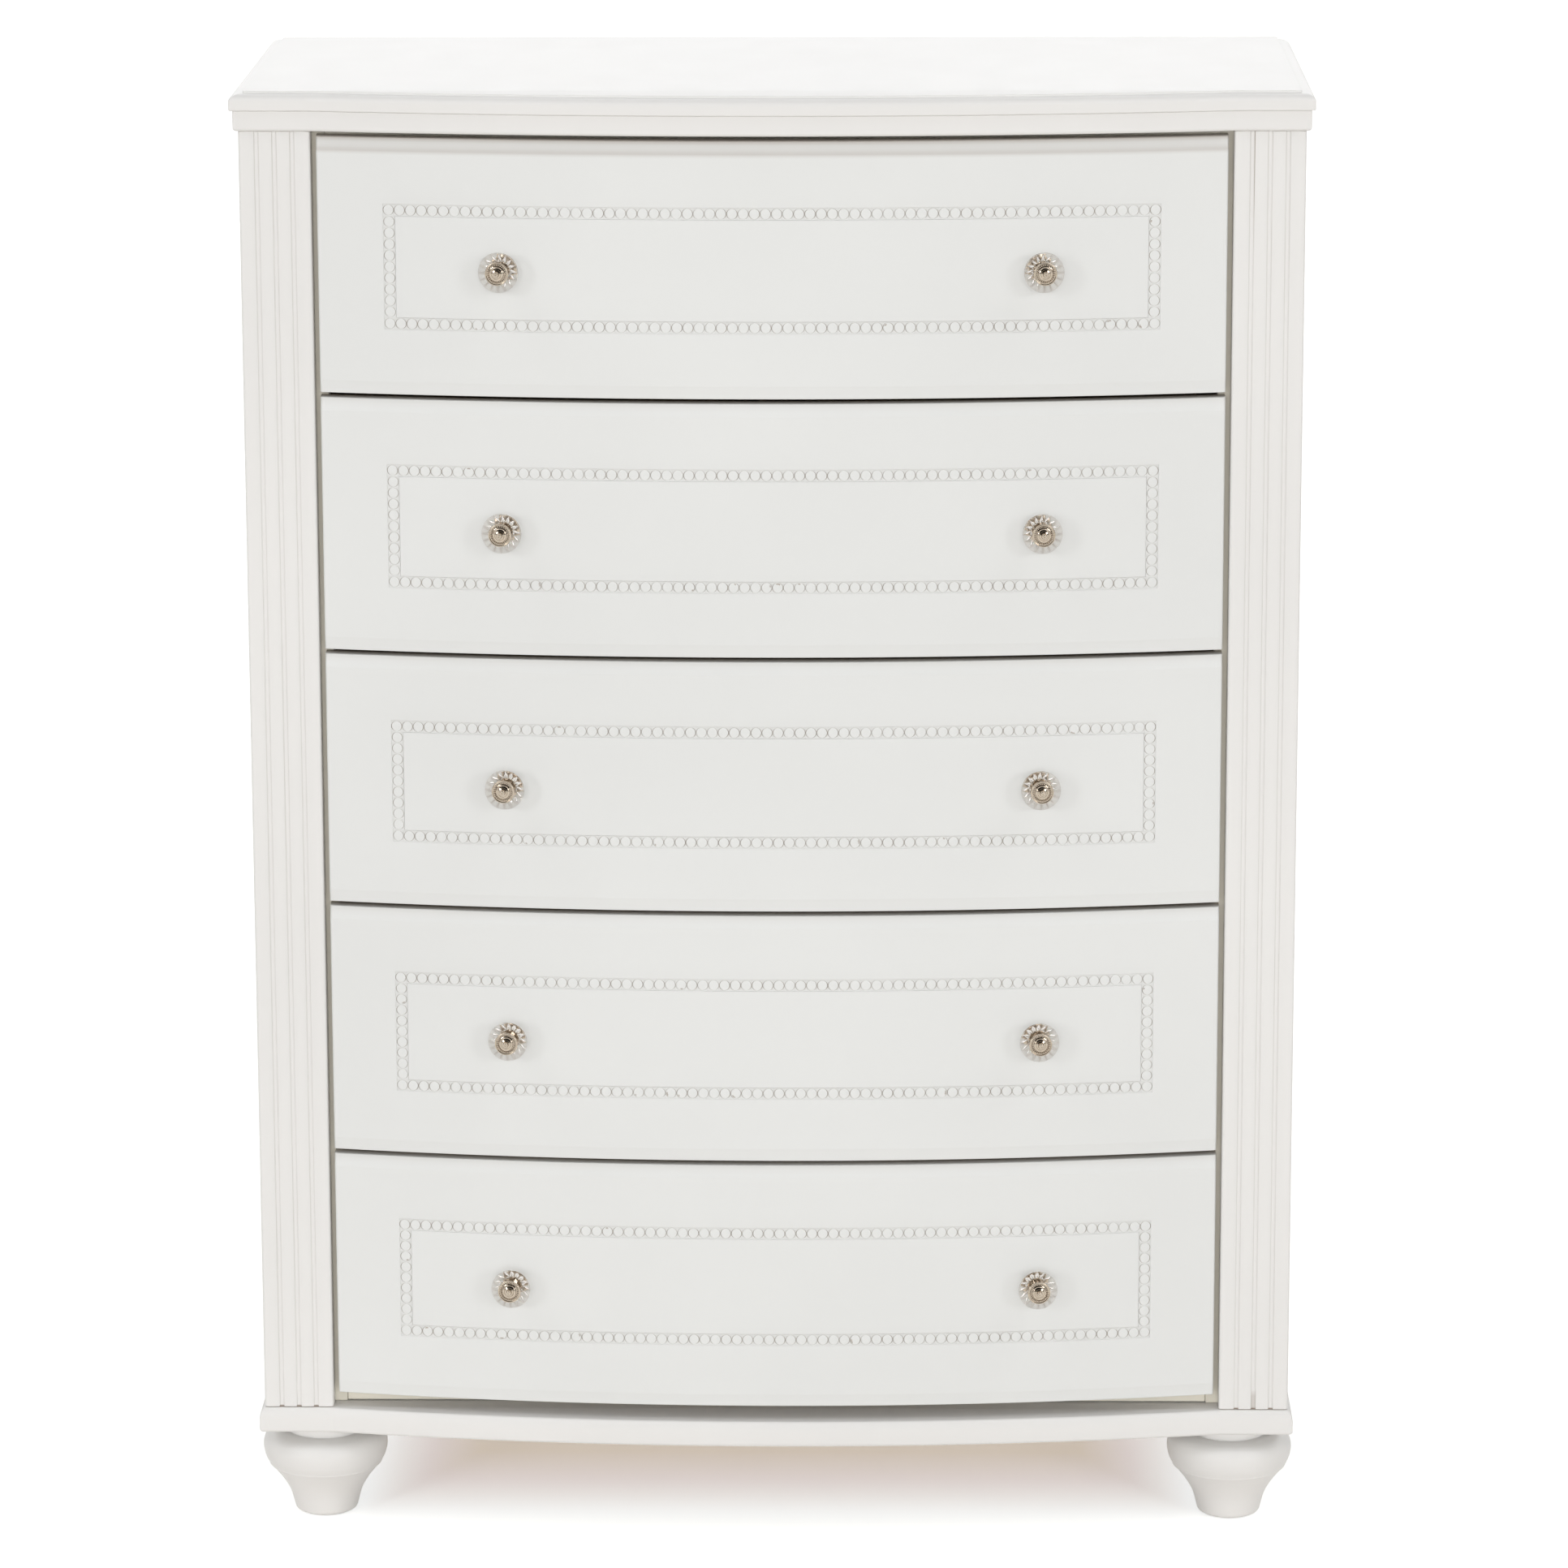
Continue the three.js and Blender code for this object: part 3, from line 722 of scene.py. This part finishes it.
def eased_box(low, high, ease):
    """A board with its upright and its end edges eased."""
    def ring(z, inset):
        x0, x1, y0, y1 = low[0] + inset, high[0] - inset, low[1] + inset, high[1] - inset
        return [(x0 + ease, y0, z), (x1 - ease, y0, z), (x1, y0 + ease, z), (x1, y1 - ease, z),
                (x1 - ease, y1, z), (x0 + ease, y1, z), (x0, y1 - ease, z), (x0, y0 + ease, z)]
    return skin([ring(low[2], ease), ring(low[2] + ease, 0), ring(high[2] - ease, 0), ring(high[2], ease)])


STILE_INNER = 378.5 * MM                   # from the middle to a stile of the face frame
RAIL_JOINT = 0.35 * MM                     # open line between a rail and a stile
TOP_RAIL, BOTTOM_RAIL = 20 * MM, 24.5 * MM
BOTTOM_RAIL_LIFT = 1.1 * MM                # of its underside above the base board
FRAME_EASE, PANEL_EASE = 0.4 * MM, 0.6 * MM


def make_face_frame(paint, side_paint):
    """Two stiles with a top and a bottom rail butted between them; their outer edges match the sides."""
    low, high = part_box("face_frame")
    rail = STILE_INNER - RAIL_JOINT
    boards = [
        ((low.x, low.y, low.z), (-STILE_INNER, high.y, high.z)),
        ((STILE_INNER, low.y, low.z), (high.x, high.y, high.z)),
        ((-rail, low.y, high.z - TOP_RAIL), (rail, high.y, high.z)),
        ((-rail, low.y, low.z + BOTTOM_RAIL_LIFT), (rail, high.y, low.z + BOTTOM_RAIL)),
    ]
    solids = [eased_box(a, b, FRAME_EASE) for a, b in boards]
    # the frame's paint holds painted slot light; its outer faces take the sides' paint
    piece = new_piece("face_frame_boards", *joined(*solids), paint, replaces=["face_frame"],
                      slot="white_paint")
    piece.data.materials.append(side_paint)
    for face in piece.data.polygons:
        if abs(face.center.x) > high.x - 1 * MM:
            face.material_index = 1


def make_side_panels(paint):
    for side in ("left", "right"):
        low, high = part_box(f"side_panel_{side}")
        new_piece(f"side_panel_{side}_eased", *eased_box(low, high, PANEL_EASE), paint,
                  replaces=[f"side_panel_{side}"], slot="white_paint")


NAIL_INSET = 9 * MM                        # from the back panel's edge
NAIL_STEP = 120 * MM
NAIL_HEAD = [(0, -1), (0.9, -1), (0.9, 0), (2, 0), (1.9, 0.3), (1.2, 0.55), (0, 0.6)]


def make_back_nails(material):
    """A row of small round heads along each edge of the back panel, not quite in line."""
    rng = random.Random(17)
    low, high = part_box("back_panel")
    head = turned(NAIL_HEAD, 14)
    spots = []
    for start, end, fixed, upright in (
        (low.z, high.z, low.x + NAIL_INSET, True), (low.z, high.z, high.x - NAIL_INSET, True),
        (low.x, high.x, low.z + NAIL_INSET, False), (low.x, high.x, high.z - NAIL_INSET, False),
    ):
        # The upright rows reach nearer to the corners than the others do.
        margin = (0.4 if upright else 1) * NAIL_STEP / 2 + NAIL_INSET
        count = round((end - start - 2 * margin) / NAIL_STEP)
        for along in spread(start + margin, end - margin, count):
            along += rng.uniform(-4, 4) * MM
            across = fixed + rng.uniform(-1, 1) * MM
            spots.append((across, along) if upright else (along, across))
    turn = Matrix.Rotation(-math.pi / 2, 4, "X")
    nails = [moved(head, Matrix.Translation((x, high.y, z)) @ turn) for x, z in spots]
    new_piece("back_panel_nails", *joined(*nails), material, crease=40, slot="warm_nickel")


def foot_profile():
    """Glide, taper, thin arris, bun and neck disc as (radius, height)."""
    glide = [(0, 0), (8.4, 0), (9, 0.4), (9, 0.8), (22.6, 0.8)]
    taper = flowing([(23.6, 1.0), (27.2, 3.4), (28.9, 9), (31.7, 19), (35.6, 27), (40.2, 34),
                     (45, 40.2), (49.4, 45.2)])
    bun = flowing([(50.1, 46.4), (53.2, 52.4), (54.9, 59.5), (54.7, 66), (52.4, 71), (47.6, 74.4),
                   (41, 75.9), (36, 76.2)])
    neck = [(34, 76.3), (34, 78.1), (36.4, 78.2), (36.7, 78.6), (36.7, 88.2), (0, 88.2)]
    return [*glide, *taper, (50.1, 45.6), *bun, *neck]


def make_feet(paint):
    solid = turned(foot_profile(), 96)
    for end in ("front", "rear"):
        for side in ("left", "right"):
            node = f"foot_{end}_{side}"
            low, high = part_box(node)
            place = Matrix.Translation(((low.x + high.x) / 2, (low.y + high.y) / 2, 0))
            new_piece(f"{node}_turned", *moved(solid, place), paint, replaces=[node], slot="white_paint")


# ---- Drawers ----
def front_face(x):
    return FRONT_END_Y - bow(x, FRONT_HALF)


def edge_round(distance, radius):
    """How far a quarter-round edge falls back at a distance from the edge."""
    across = min(max(radius - distance, 0), radius)
    return radius - math.sqrt(radius * radius - across * across)


def bevel(distance):
    """How far the face falls back at a distance from a front's top or bottom edge."""
    rise = max(0, BEVEL_HEIGHT - max(distance, BEVEL_ROUND)) / (BEVEL_HEIGHT - BEVEL_ROUND)
    return edge_round(distance, BEVEL_ROUND) + BEVEL_FALL * rise ** BEVEL_CURVE


def recess_depth(x, z):
    """Depth of the band's channel at a point of the face, z from the front's middle."""
    outer = max(abs(x) - BAND_HALF_WIDTH, abs(z) - BAND_HALF_HEIGHT)
    inner = max(abs(x) - (BAND_HALF_WIDTH - BAND_WIDTH), abs(z) - (BAND_HALF_HEIGHT - BAND_WIDTH))
    inside = min(-outer, inner)
    for reach, depth in RECESS_WALL:
        if inside <= reach + 1e-9:
            return depth
    return BAND_DEPTH


RECESS_WALL = [(-0.3 * MM, 0), (-0.12 * MM, 0.03 * MM), (0, 0.12 * MM), (0.05 * MM, BAND_DEPTH)]


def lines(band_half, round_steps, plain_steps):
    """Grid lines across a front in one direction: its rounded edges, the band's walls and between."""
    walls = []
    for reach, _ in RECESS_WALL:
        walls += [band_half - reach, band_half - BAND_WIDTH + reach]
    walls.append(band_half - BAND_WIDTH / 2)
    positive = sorted({*walls, *round_steps, *plain_steps})
    return sorted({round(s * v, 7) for v in positive for s in (-1, 1)} | {0.0})


# Painted shade down from a front's top edge as (distance in millimetres, share), on the top drawer under
# the top board's overhang and on the others under the gap above.
TOP_DRAWER_PAINTED_SHADE = [(0.8, 0.5), (1.2, 0.38), (3.6, 0.15), (6, 0.13), (8, 0.18), (9.4, 0.26), (11, 0.32),
                   (12, 0.2), (14, 0)]
OTHER_DRAWERS_PAINTED_SHADE = [(0.4, 0.1), (0.8, 0.15), (1.2, 0.12), (3.6, 0.05), (6, 0.015), (8, 0)]
# painted shade on a front's top and bottom faces, darkest at their back, inside the gaps
GAP_FACES_PAINTED_SHADE = 0.85
# Distances of the grid's lines from a front's top and bottom edge, in millimetres.
EDGE_LINES = (0, 0.08, 0.25, 0.5, 0.8, 1.2, 2.2, 3.6, 6, 8, 9.4, 10.3, 11, 12, 13.2)


def between(steps, x):
    """Value at x on the line through the steps, level beyond both ends."""
    for (x0, value0), (x1, value1) in zip(steps, steps[1:]):
        if x < x1:
            return value0 + (value1 - value0) * max(0, x - x0) / (x1 - x0)
    return steps[-1][1]


def drawer_front(shade_steps):
    """The bowed front with its bevels, the band's channel and painted shade at its top edge, z from its
    underside.
    """
    half_height = FRONT_HEIGHT / 2
    ends = [FRONT_HALF - FRONT_END_ROUND * (1 - math.cos(math.radians(a))) for a in spread(0, 90, 4)]
    tops = [half_height - distance * MM for distance in EDGE_LINES]
    xs = lines(BAND_HALF_WIDTH, ends, spread(8 * MM, 376 * MM, 46))
    zs = lines(BAND_HALF_HEIGHT, tops, spread(10 * MM, 95 * MM, 6))
    vertices, faces, dirt_and_shade = [], [], []
    for z in zs:
        fall = bevel(half_height - abs(z))
        # painted shade below the edge above and the gap
        dirt_and_shade_level = between(shade_steps, (half_height - z) / MM)
        for x in xs:
            end = edge_round(FRONT_HALF - abs(x), FRONT_END_ROUND)
            vertices.append((x, front_face(x) + fall + end + recess_depth(x, z), z + half_height))
            dirt_and_shade.append(dirt_and_shade_level)
    wide, tall = len(xs), len(zs)
    for row in range(tall - 1):
        for column in range(wide - 1):
            a = row * wide + column
            faces.append([a, a + 1, a + 1 + wide, a + wide])
    rear = len(vertices)
    for z in (0, FRONT_HEIGHT):
        vertices += [(x, front_face(x) + FRONT_THICKNESS, z) for x in xs]
        dirt_and_shade += [GAP_FACES_PAINTED_SHADE] * wide
    top_row = (tall - 1) * wide
    for column in range(wide - 1):
        low, high = rear + column, rear + wide + column
        faces.append([low, high, high + 1, low + 1])
        faces.append([column, low, low + 1, column + 1])
        faces.append([top_row + column, top_row + column + 1, high + 1, high])
    for column in (0, wide - 1):
        faces.append([row * wide + column for row in range(tall)] + [rear + wide + column, rear + column])
    return vertices, faces, dirt_and_shade


def on_front(x, z):
    """Where a thing stands whose axis leaves the drawer face squarely at x, z."""
    radius = (FRONT_HALF ** 2 + BOW_RISE ** 2) / (2 * BOW_RISE)
    place = Matrix.Translation((x, front_face(x), z))
    return place @ Matrix.Rotation(math.asin(x / radius), 4, "Z") @ Matrix.Rotation(math.pi / 2, 4, "X")


# A bead's face, the groove round it and the strip beyond, as (radius, depth behind the face).
BEAD_SECTION = [(2.4, 0.0), (3.6, 0.05), (4.1, 0.18), (4.32, 0.45), (4.5, 0.85), (4.68, 0.45), (4.9, 0.16)]
STRIP_DEPTH = 0.12 * MM
OUTER_GAP, INNER_GAP = 0.09 * MM, 0.16 * MM    # open lines between the strip and the face
SIDE_STEPS = 6                             # points along each side of a bead's square
BEAD_POINTS = 4 * SIDE_STEPS
FLANK_DEPTH = 0.3                          # share of the groove's depth above and below a bead
# dirt and painted shade where neighbouring beads meet and down the channel's open lines
RIM_DIRT_AND_SHADE, UNDER_DIRT_AND_SHADE = 0.1, 0.8


def bead_depth(across, up):
    """Depth behind the face at a distance from a bead's middle; the groove is deepest at its sides."""
    radius = math.hypot(across, up)
    depth = STRIP_DEPTH
    previous = (0, 0)
    for r, low in BEAD_SECTION:
        if radius <= r * MM:
            share = (radius / MM - previous[0]) / (r - previous[0])
            depth = (previous[1] + (low - previous[1]) * share) * MM
            break
        previous = (r, low)
    if depth > STRIP_DEPTH:
        sideways = abs(across) / radius
        depth = STRIP_DEPTH + (depth - STRIP_DEPTH) * (FLANK_DEPTH + (1 - FLANK_DEPTH) * sideways ** 1.5)
    return depth


def bead_run(xs, zs, rng):
    """A closed strip of beads, one in each cell between the lines xs and zs, with its dirt and painted
    shade.
    """
    vertices, faces, dirt_and_shade, shared, rings_at = [], [], [], {}, []
    outermost = BEAD_SECTION[-1][0]

    def add(x, z, depth, dirt_and_shade_level=0.0):
        vertices.append((x, front_face(x) + depth, z))
        dirt_and_shade.append(dirt_and_shade_level)
        return len(vertices) - 1

    def once(x, z, depth, dirt_and_shade_level=0.0):
        key = (round(x, 6), round(z, 6), round(depth, 6))
        if key not in shared:
            shared[key] = add(x, z, depth, dirt_and_shade_level)
        return shared[key]

    for x0, x1 in zip(xs, xs[1:]):
        for z0, z1 in zip(zs, zs[1:]):
            sides = [(x0, z0, x1, z0), (x1, z0, x1, z1), (x1, z1, x0, z1), (x0, z1, x0, z0)]
            open_side = [z0 == zs[0], x1 == xs[-1], z1 == zs[-1], x0 == xs[0]]
            edge = [
                (ax + (bx - ax) * i / SIDE_STEPS, az + (bz - az) * i / SIDE_STEPS, i == 0, side)
                for side, (ax, az, bx, bz) in enumerate(sides) for i in range(SIDE_STEPS)
            ]
            middle_x = (x0 + x1) / 2
            middle_z = (z0 + z1) / 2
            # dirt and painted shade, the darker the deeper the groove
            dirt_and_shade_level = rng.uniform(0.45, 1)
            rings = []
            rings_at.append(len(vertices))
            for radius, _ in BEAD_SECTION:
                ring = []
                for x, z, _, _ in edge:
                    reach = math.hypot(x - middle_x, z - middle_z)
                    r = min(radius * MM, reach * (0.97 if radius < outermost else 0.99))
                    across, up = (x - middle_x) * r / reach, (z - middle_z) * r / reach
                    depth = bead_depth(across, up)
                    ring.append(add(middle_x + across, middle_z + up, depth,
                                    dirt_and_shade_level * fade(depth / MM, 0.2, 0.8)))
                rings.append(ring)
            rim = [once(x, z, bead_depth(x - middle_x, z - middle_z), RIM_DIRT_AND_SHADE) for x, z, _, _ in edge]
            rings.append(rim)
            faces.append(rings[0])
            following = [*range(1, BEAD_POINTS), 0]
            for inner, outer in zip(rings, rings[1:]):
                faces += [[inner[i], outer[i], outer[j], inner[j]] for i, j in enumerate(following)]
            under = []
            for i, (x, z, corner, side) in enumerate(edge):
                if corner or open_side[side]:
                    under.append(once(x, z, BAND_DEPTH, UNDER_DIRT_AND_SHADE))
                if open_side[side]:
                    x_next, z_next, _, _ = edge[following[i]]
                    faces.append([rim[following[i]], rim[i], once(x, z, BAND_DEPTH, UNDER_DIRT_AND_SHADE),
                                  once(x_next, z_next, BAND_DEPTH, UNDER_DIRT_AND_SHADE)])
            faces.append(under[::-1])
    return vertices, faces, dirt_and_shade, rings_at


def beaded_band():
    """The four runs of the band, z from the front's underside."""
    rng = random.Random(5)
    middle = FRONT_HEIGHT / 2
    outer_x, outer_z = BAND_HALF_WIDTH - OUTER_GAP, BAND_HALF_HEIGHT - OUTER_GAP
    inner_x = BAND_HALF_WIDTH - BAND_WIDTH + INNER_GAP
    inner_z = BAND_HALF_HEIGHT - BAND_WIDTH + INNER_GAP
    across = spread(-outer_x, outer_x, BEADS_ACROSS)
    join = 0.02 * MM
    up = spread(middle - inner_z + join, middle + inner_z - join, BEADS_UP)
    solid, dirt_and_shade, beads_at = ([], []), [], []
    for xs, zs in (
        (across, [middle + inner_z, middle + outer_z]), (across, [middle - outer_z, middle - inner_z]),
        ([-outer_x, -inner_x], up), ([inner_x, outer_x], up),
    ):
        vertices, faces, dirt_and_shade_level, rings_at = bead_run(xs, zs, rng)
        beads_at += [len(dirt_and_shade) + start for start in rings_at]
        solid = joined(solid, (vertices, faces))
        dirt_and_shade += dirt_and_shade_level
    return solid, dirt_and_shade, beads_at


CHIPS = {1: 5, 2: 9, 3: 7, 4: 9, 5: 6}     # on the beads of each drawer


def chipped(dirt_and_shade, beads_at, count, rng):
    """The beads' dirt and painted shade, with some small dark chips on their edge, most of them in the
    lower run.
    """
    worn = list(dirt_and_shade)
    lower_run = beads_at[BEADS_ACROSS:2 * BEADS_ACROSS]
    for chip in range(count):
        second_ring = rng.choice(lower_run if chip % 3 else beads_at) + BEAD_POINTS
        start = rng.randrange(BEAD_POINTS)
        for i in range(rng.choice((2, 3, 4))):
            worn[second_ring + (start + i) % BEAD_POINTS] = rng.uniform(0.7, 1)
    return worn


def make_drawer_fronts(paint):
    beads, bead_dirt_and_shade, beads_at = beaded_band()
    rng = random.Random(11)
    for n in DRAWERS:
        node = f"drawer_{n}_front"
        body = f"drawer_{n}"
        place = Matrix.Translation((0, 0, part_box(node)[0].z))
        *front, front_painted_shade = drawer_front(TOP_DRAWER_PAINTED_SHADE if n == 1 else OTHER_DRAWERS_PAINTED_SHADE)
        new_piece(f"{body}_front_bowed", *moved(front, place), paint, body=body, replaces=[node],
                  slot="white_paint", dirt_and_shade=front_painted_shade)
        new_piece(f"{body}_beads", *moved(beads, place), paint, crease=50, body=body, slot="white_paint",
                  dirt_and_shade=chipped(bead_dirt_and_shade, beads_at, CHIPS[n], rng))


# ---- Knobs ----
# Knobs are given in millimetres, their height from the drawer's face outwards.
GLASS_FLUTES = 16
POINTS_PER_PETAL = 10
GLASS_BORE = 3.0
GLASS_FLUTE_DEPTH = 1.5
PETAL_DEPTH = 0.45
# past this radius the glass takes a faint even tint
RIM_RADIUS, GLASS_RIM_TINT = 16.6, 0.2


def knob_glass():
    """Ring of clear glass round the screw, with petals on its front and flutes up the flare behind."""
    flare = flowing([(5.4, 4.6), (6.0, 7.5), (8.6, 12.5), (13.6, 17.4), (16.7, 19.6)], 4)
    rim = arc((16.3, 20.4), (0.7, 0.9), -40, 60, 5)
    front = flowing([(16.4, 21.4), (15.4, 23.4), (13.2, 25.3), (10.4, 26.6)], 4)
    profile = [(GLASS_BORE, 4.6), *flare, *rim, *front, (GLASS_BORE, 26.9)]
    segments = GLASS_FLUTES * POINTS_PER_PETAL
    vertices, faces, dirt_and_shade = [], [], []
    for ring, (radius, height) in enumerate(profile):
        flute = petal = 0
        if 0 < ring <= len(flare):
            flute = GLASS_FLUTE_DEPTH * fade(radius, 6, 10) * fade(radius, 17, 15)
        elif ring > len(flare) + len(rim):
            petal = PETAL_DEPTH * fade(radius, 16.4, 14.4) * fade(radius, 9, 11)
        for i in range(segments):
            valley = 1 - abs(math.sin(math.pi * i * GLASS_FLUTES / segments))
            r = (radius - flute * (1 - valley)) * MM
            angle = 2 * math.pi * i / segments
            vertices.append((r * math.cos(angle), r * math.sin(angle), (height - petal * valley) * MM))
            # painted shade in the valleys, most near the boss, and a faint tint on the rim
            dirt_and_shade.append(GLASS_RIM_TINT if radius > RIM_RADIUS else valley ** 1.5 * fade(radius, 18.5, 11.5))
    for ring in range(len(profile)):
        for i in range(segments):
            j = (i + 1) % segments
            a, b = ring * segments, (ring + 1) % len(profile) * segments
            faces.append([a + i, a + j, b + j, b + i])
    return vertices, faces, dirt_and_shade


WASHER_SEAT = -17.7                        # just behind the drawer front, where the washer bears
DOME_CURVE, DOME_RADIUS, DOME_FOOT = 12.5, 5.8, 29.3
PEARLS = 28
PEARL_RING, PEARL_HEIGHT = 7.6, 28.2


def dome(radius):
    """The boss's shallow dome as a point of its profile."""
    rise = math.sqrt(DOME_CURVE ** 2 - radius ** 2) - math.sqrt(DOME_CURVE ** 2 - DOME_RADIUS ** 2)
    return radius, DOME_FOOT + rise


def knob_metal():
    """Ferrule, screw, stepped boss with a ring of pearls, and the pan head inside the drawer."""
    seat = WASHER_SEAT
    pan_head = [(0, seat - 3), (2.6, seat - 3), (4.4, seat - 2.4), (4.6, seat - 0.9)]
    washer = [(7, seat - 0.9), (7, seat - 0.1), (2.5, seat - 0.1)]
    ferrule = [(2.5, 0.2), (6.2, 0.2), (6.3, 0.9), (5.5, 1.5), (4.9, 3), (5.2, 4.3), (2.5, 4.3)]
    plate = [
        (2.5, 27.1), (9.4, 27.1), *arc((9.2, 27.9), (0.8, 0.8), -70, 90, 7),
        (8.9, 28.6), (8.7, 27.8), (6.4, 27.9), (6.1, 28.1), (6.0, 29.0),
    ]
    groove = (4.0, dome(4.0)[1] - 0.2)
    domed = [*map(dome, (DOME_RADIUS, 5.3, 4.8, 4.4, 4.15)), groove, *map(dome, (3.85, 3.4, 2.9, 2.6))]
    button = [
        (2.5, 31.0), (2.45, 31.9), *arc((1.35, 32.1), (1.05, 1.5), 0, 80, 6),
        (0.6, 33.45), (0.45, 33.1), (0, 33.1),
    ]
    body = turned([*pan_head, *washer, *ferrule, *plate, *domed, *button], 64)
    pearl = turned([(0, -0.9), *arc((0, 0), (0.78, 0.9), -60, 60, 5), (0, 0.9)], 10)
    out = Matrix.Translation((PEARL_RING * MM, 0, PEARL_HEIGHT * MM))
    pearls = [moved(pearl, Matrix.Rotation(2 * math.pi * i / PEARLS, 4, "Z") @ out) for i in range(PEARLS)]
    return joined(body, *pearls)


def make_knobs(materials):
    *glass, glass_painted_shade = knob_glass()
    metal = knob_metal()
    for n in DRAWERS:
        body = f"drawer_{n}"
        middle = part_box(f"{body}_front")[0].z + FRONT_HEIGHT / 2
        for side, sign in (("left", -1), ("right", 1)):
            place = on_front(sign * KNOB_OFFSET, middle)
            stem = f"{body}_knob_{side}"
            new_piece(f"{stem}_fluted", *moved(glass, place), materials["glass"], crease=40, body=body,
                      replaces=[f"{stem}_glass"], slot="clear_glass", dirt_and_shade=glass_painted_shade)
            new_piece(f"{stem}_metal", *moved(metal, place), materials["nickel"], crease=40, body=body,
                      replaces=[f"{stem}_boss"], slot="warm_nickel")


def dress(node, material):
    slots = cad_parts[node].data.materials
    slots.clear()
    slots.append(material)


def dress_frame(materials):
    """Better materials for the solids that show as they are."""
    dress("back_panel", materials["boards"])
    for n in DRAWERS:
        dress(f"drawer_{n}_box", materials["sides"])
        dress(f"drawer_{n}_bottom", materials["boards"])
        for side in ("left", "right"):
            dress(f"runner_{n}_{side}", materials["runners"])


bpy.context.scene.view_settings.view_transform = "Standard"
make_camera()
make_lights()
make_world()
make_floor()
materials = make_materials()
make_boards(materials["cabinet"])
make_pilasters(materials["cabinet"])
make_face_frame(materials["frame"], materials["cabinet"])
make_side_panels(materials["cabinet"])
make_back_nails(materials["steel"])
make_feet(materials["cabinet"])
make_drawer_fronts(materials["fronts"])
make_knobs(materials)
dress_frame(materials)
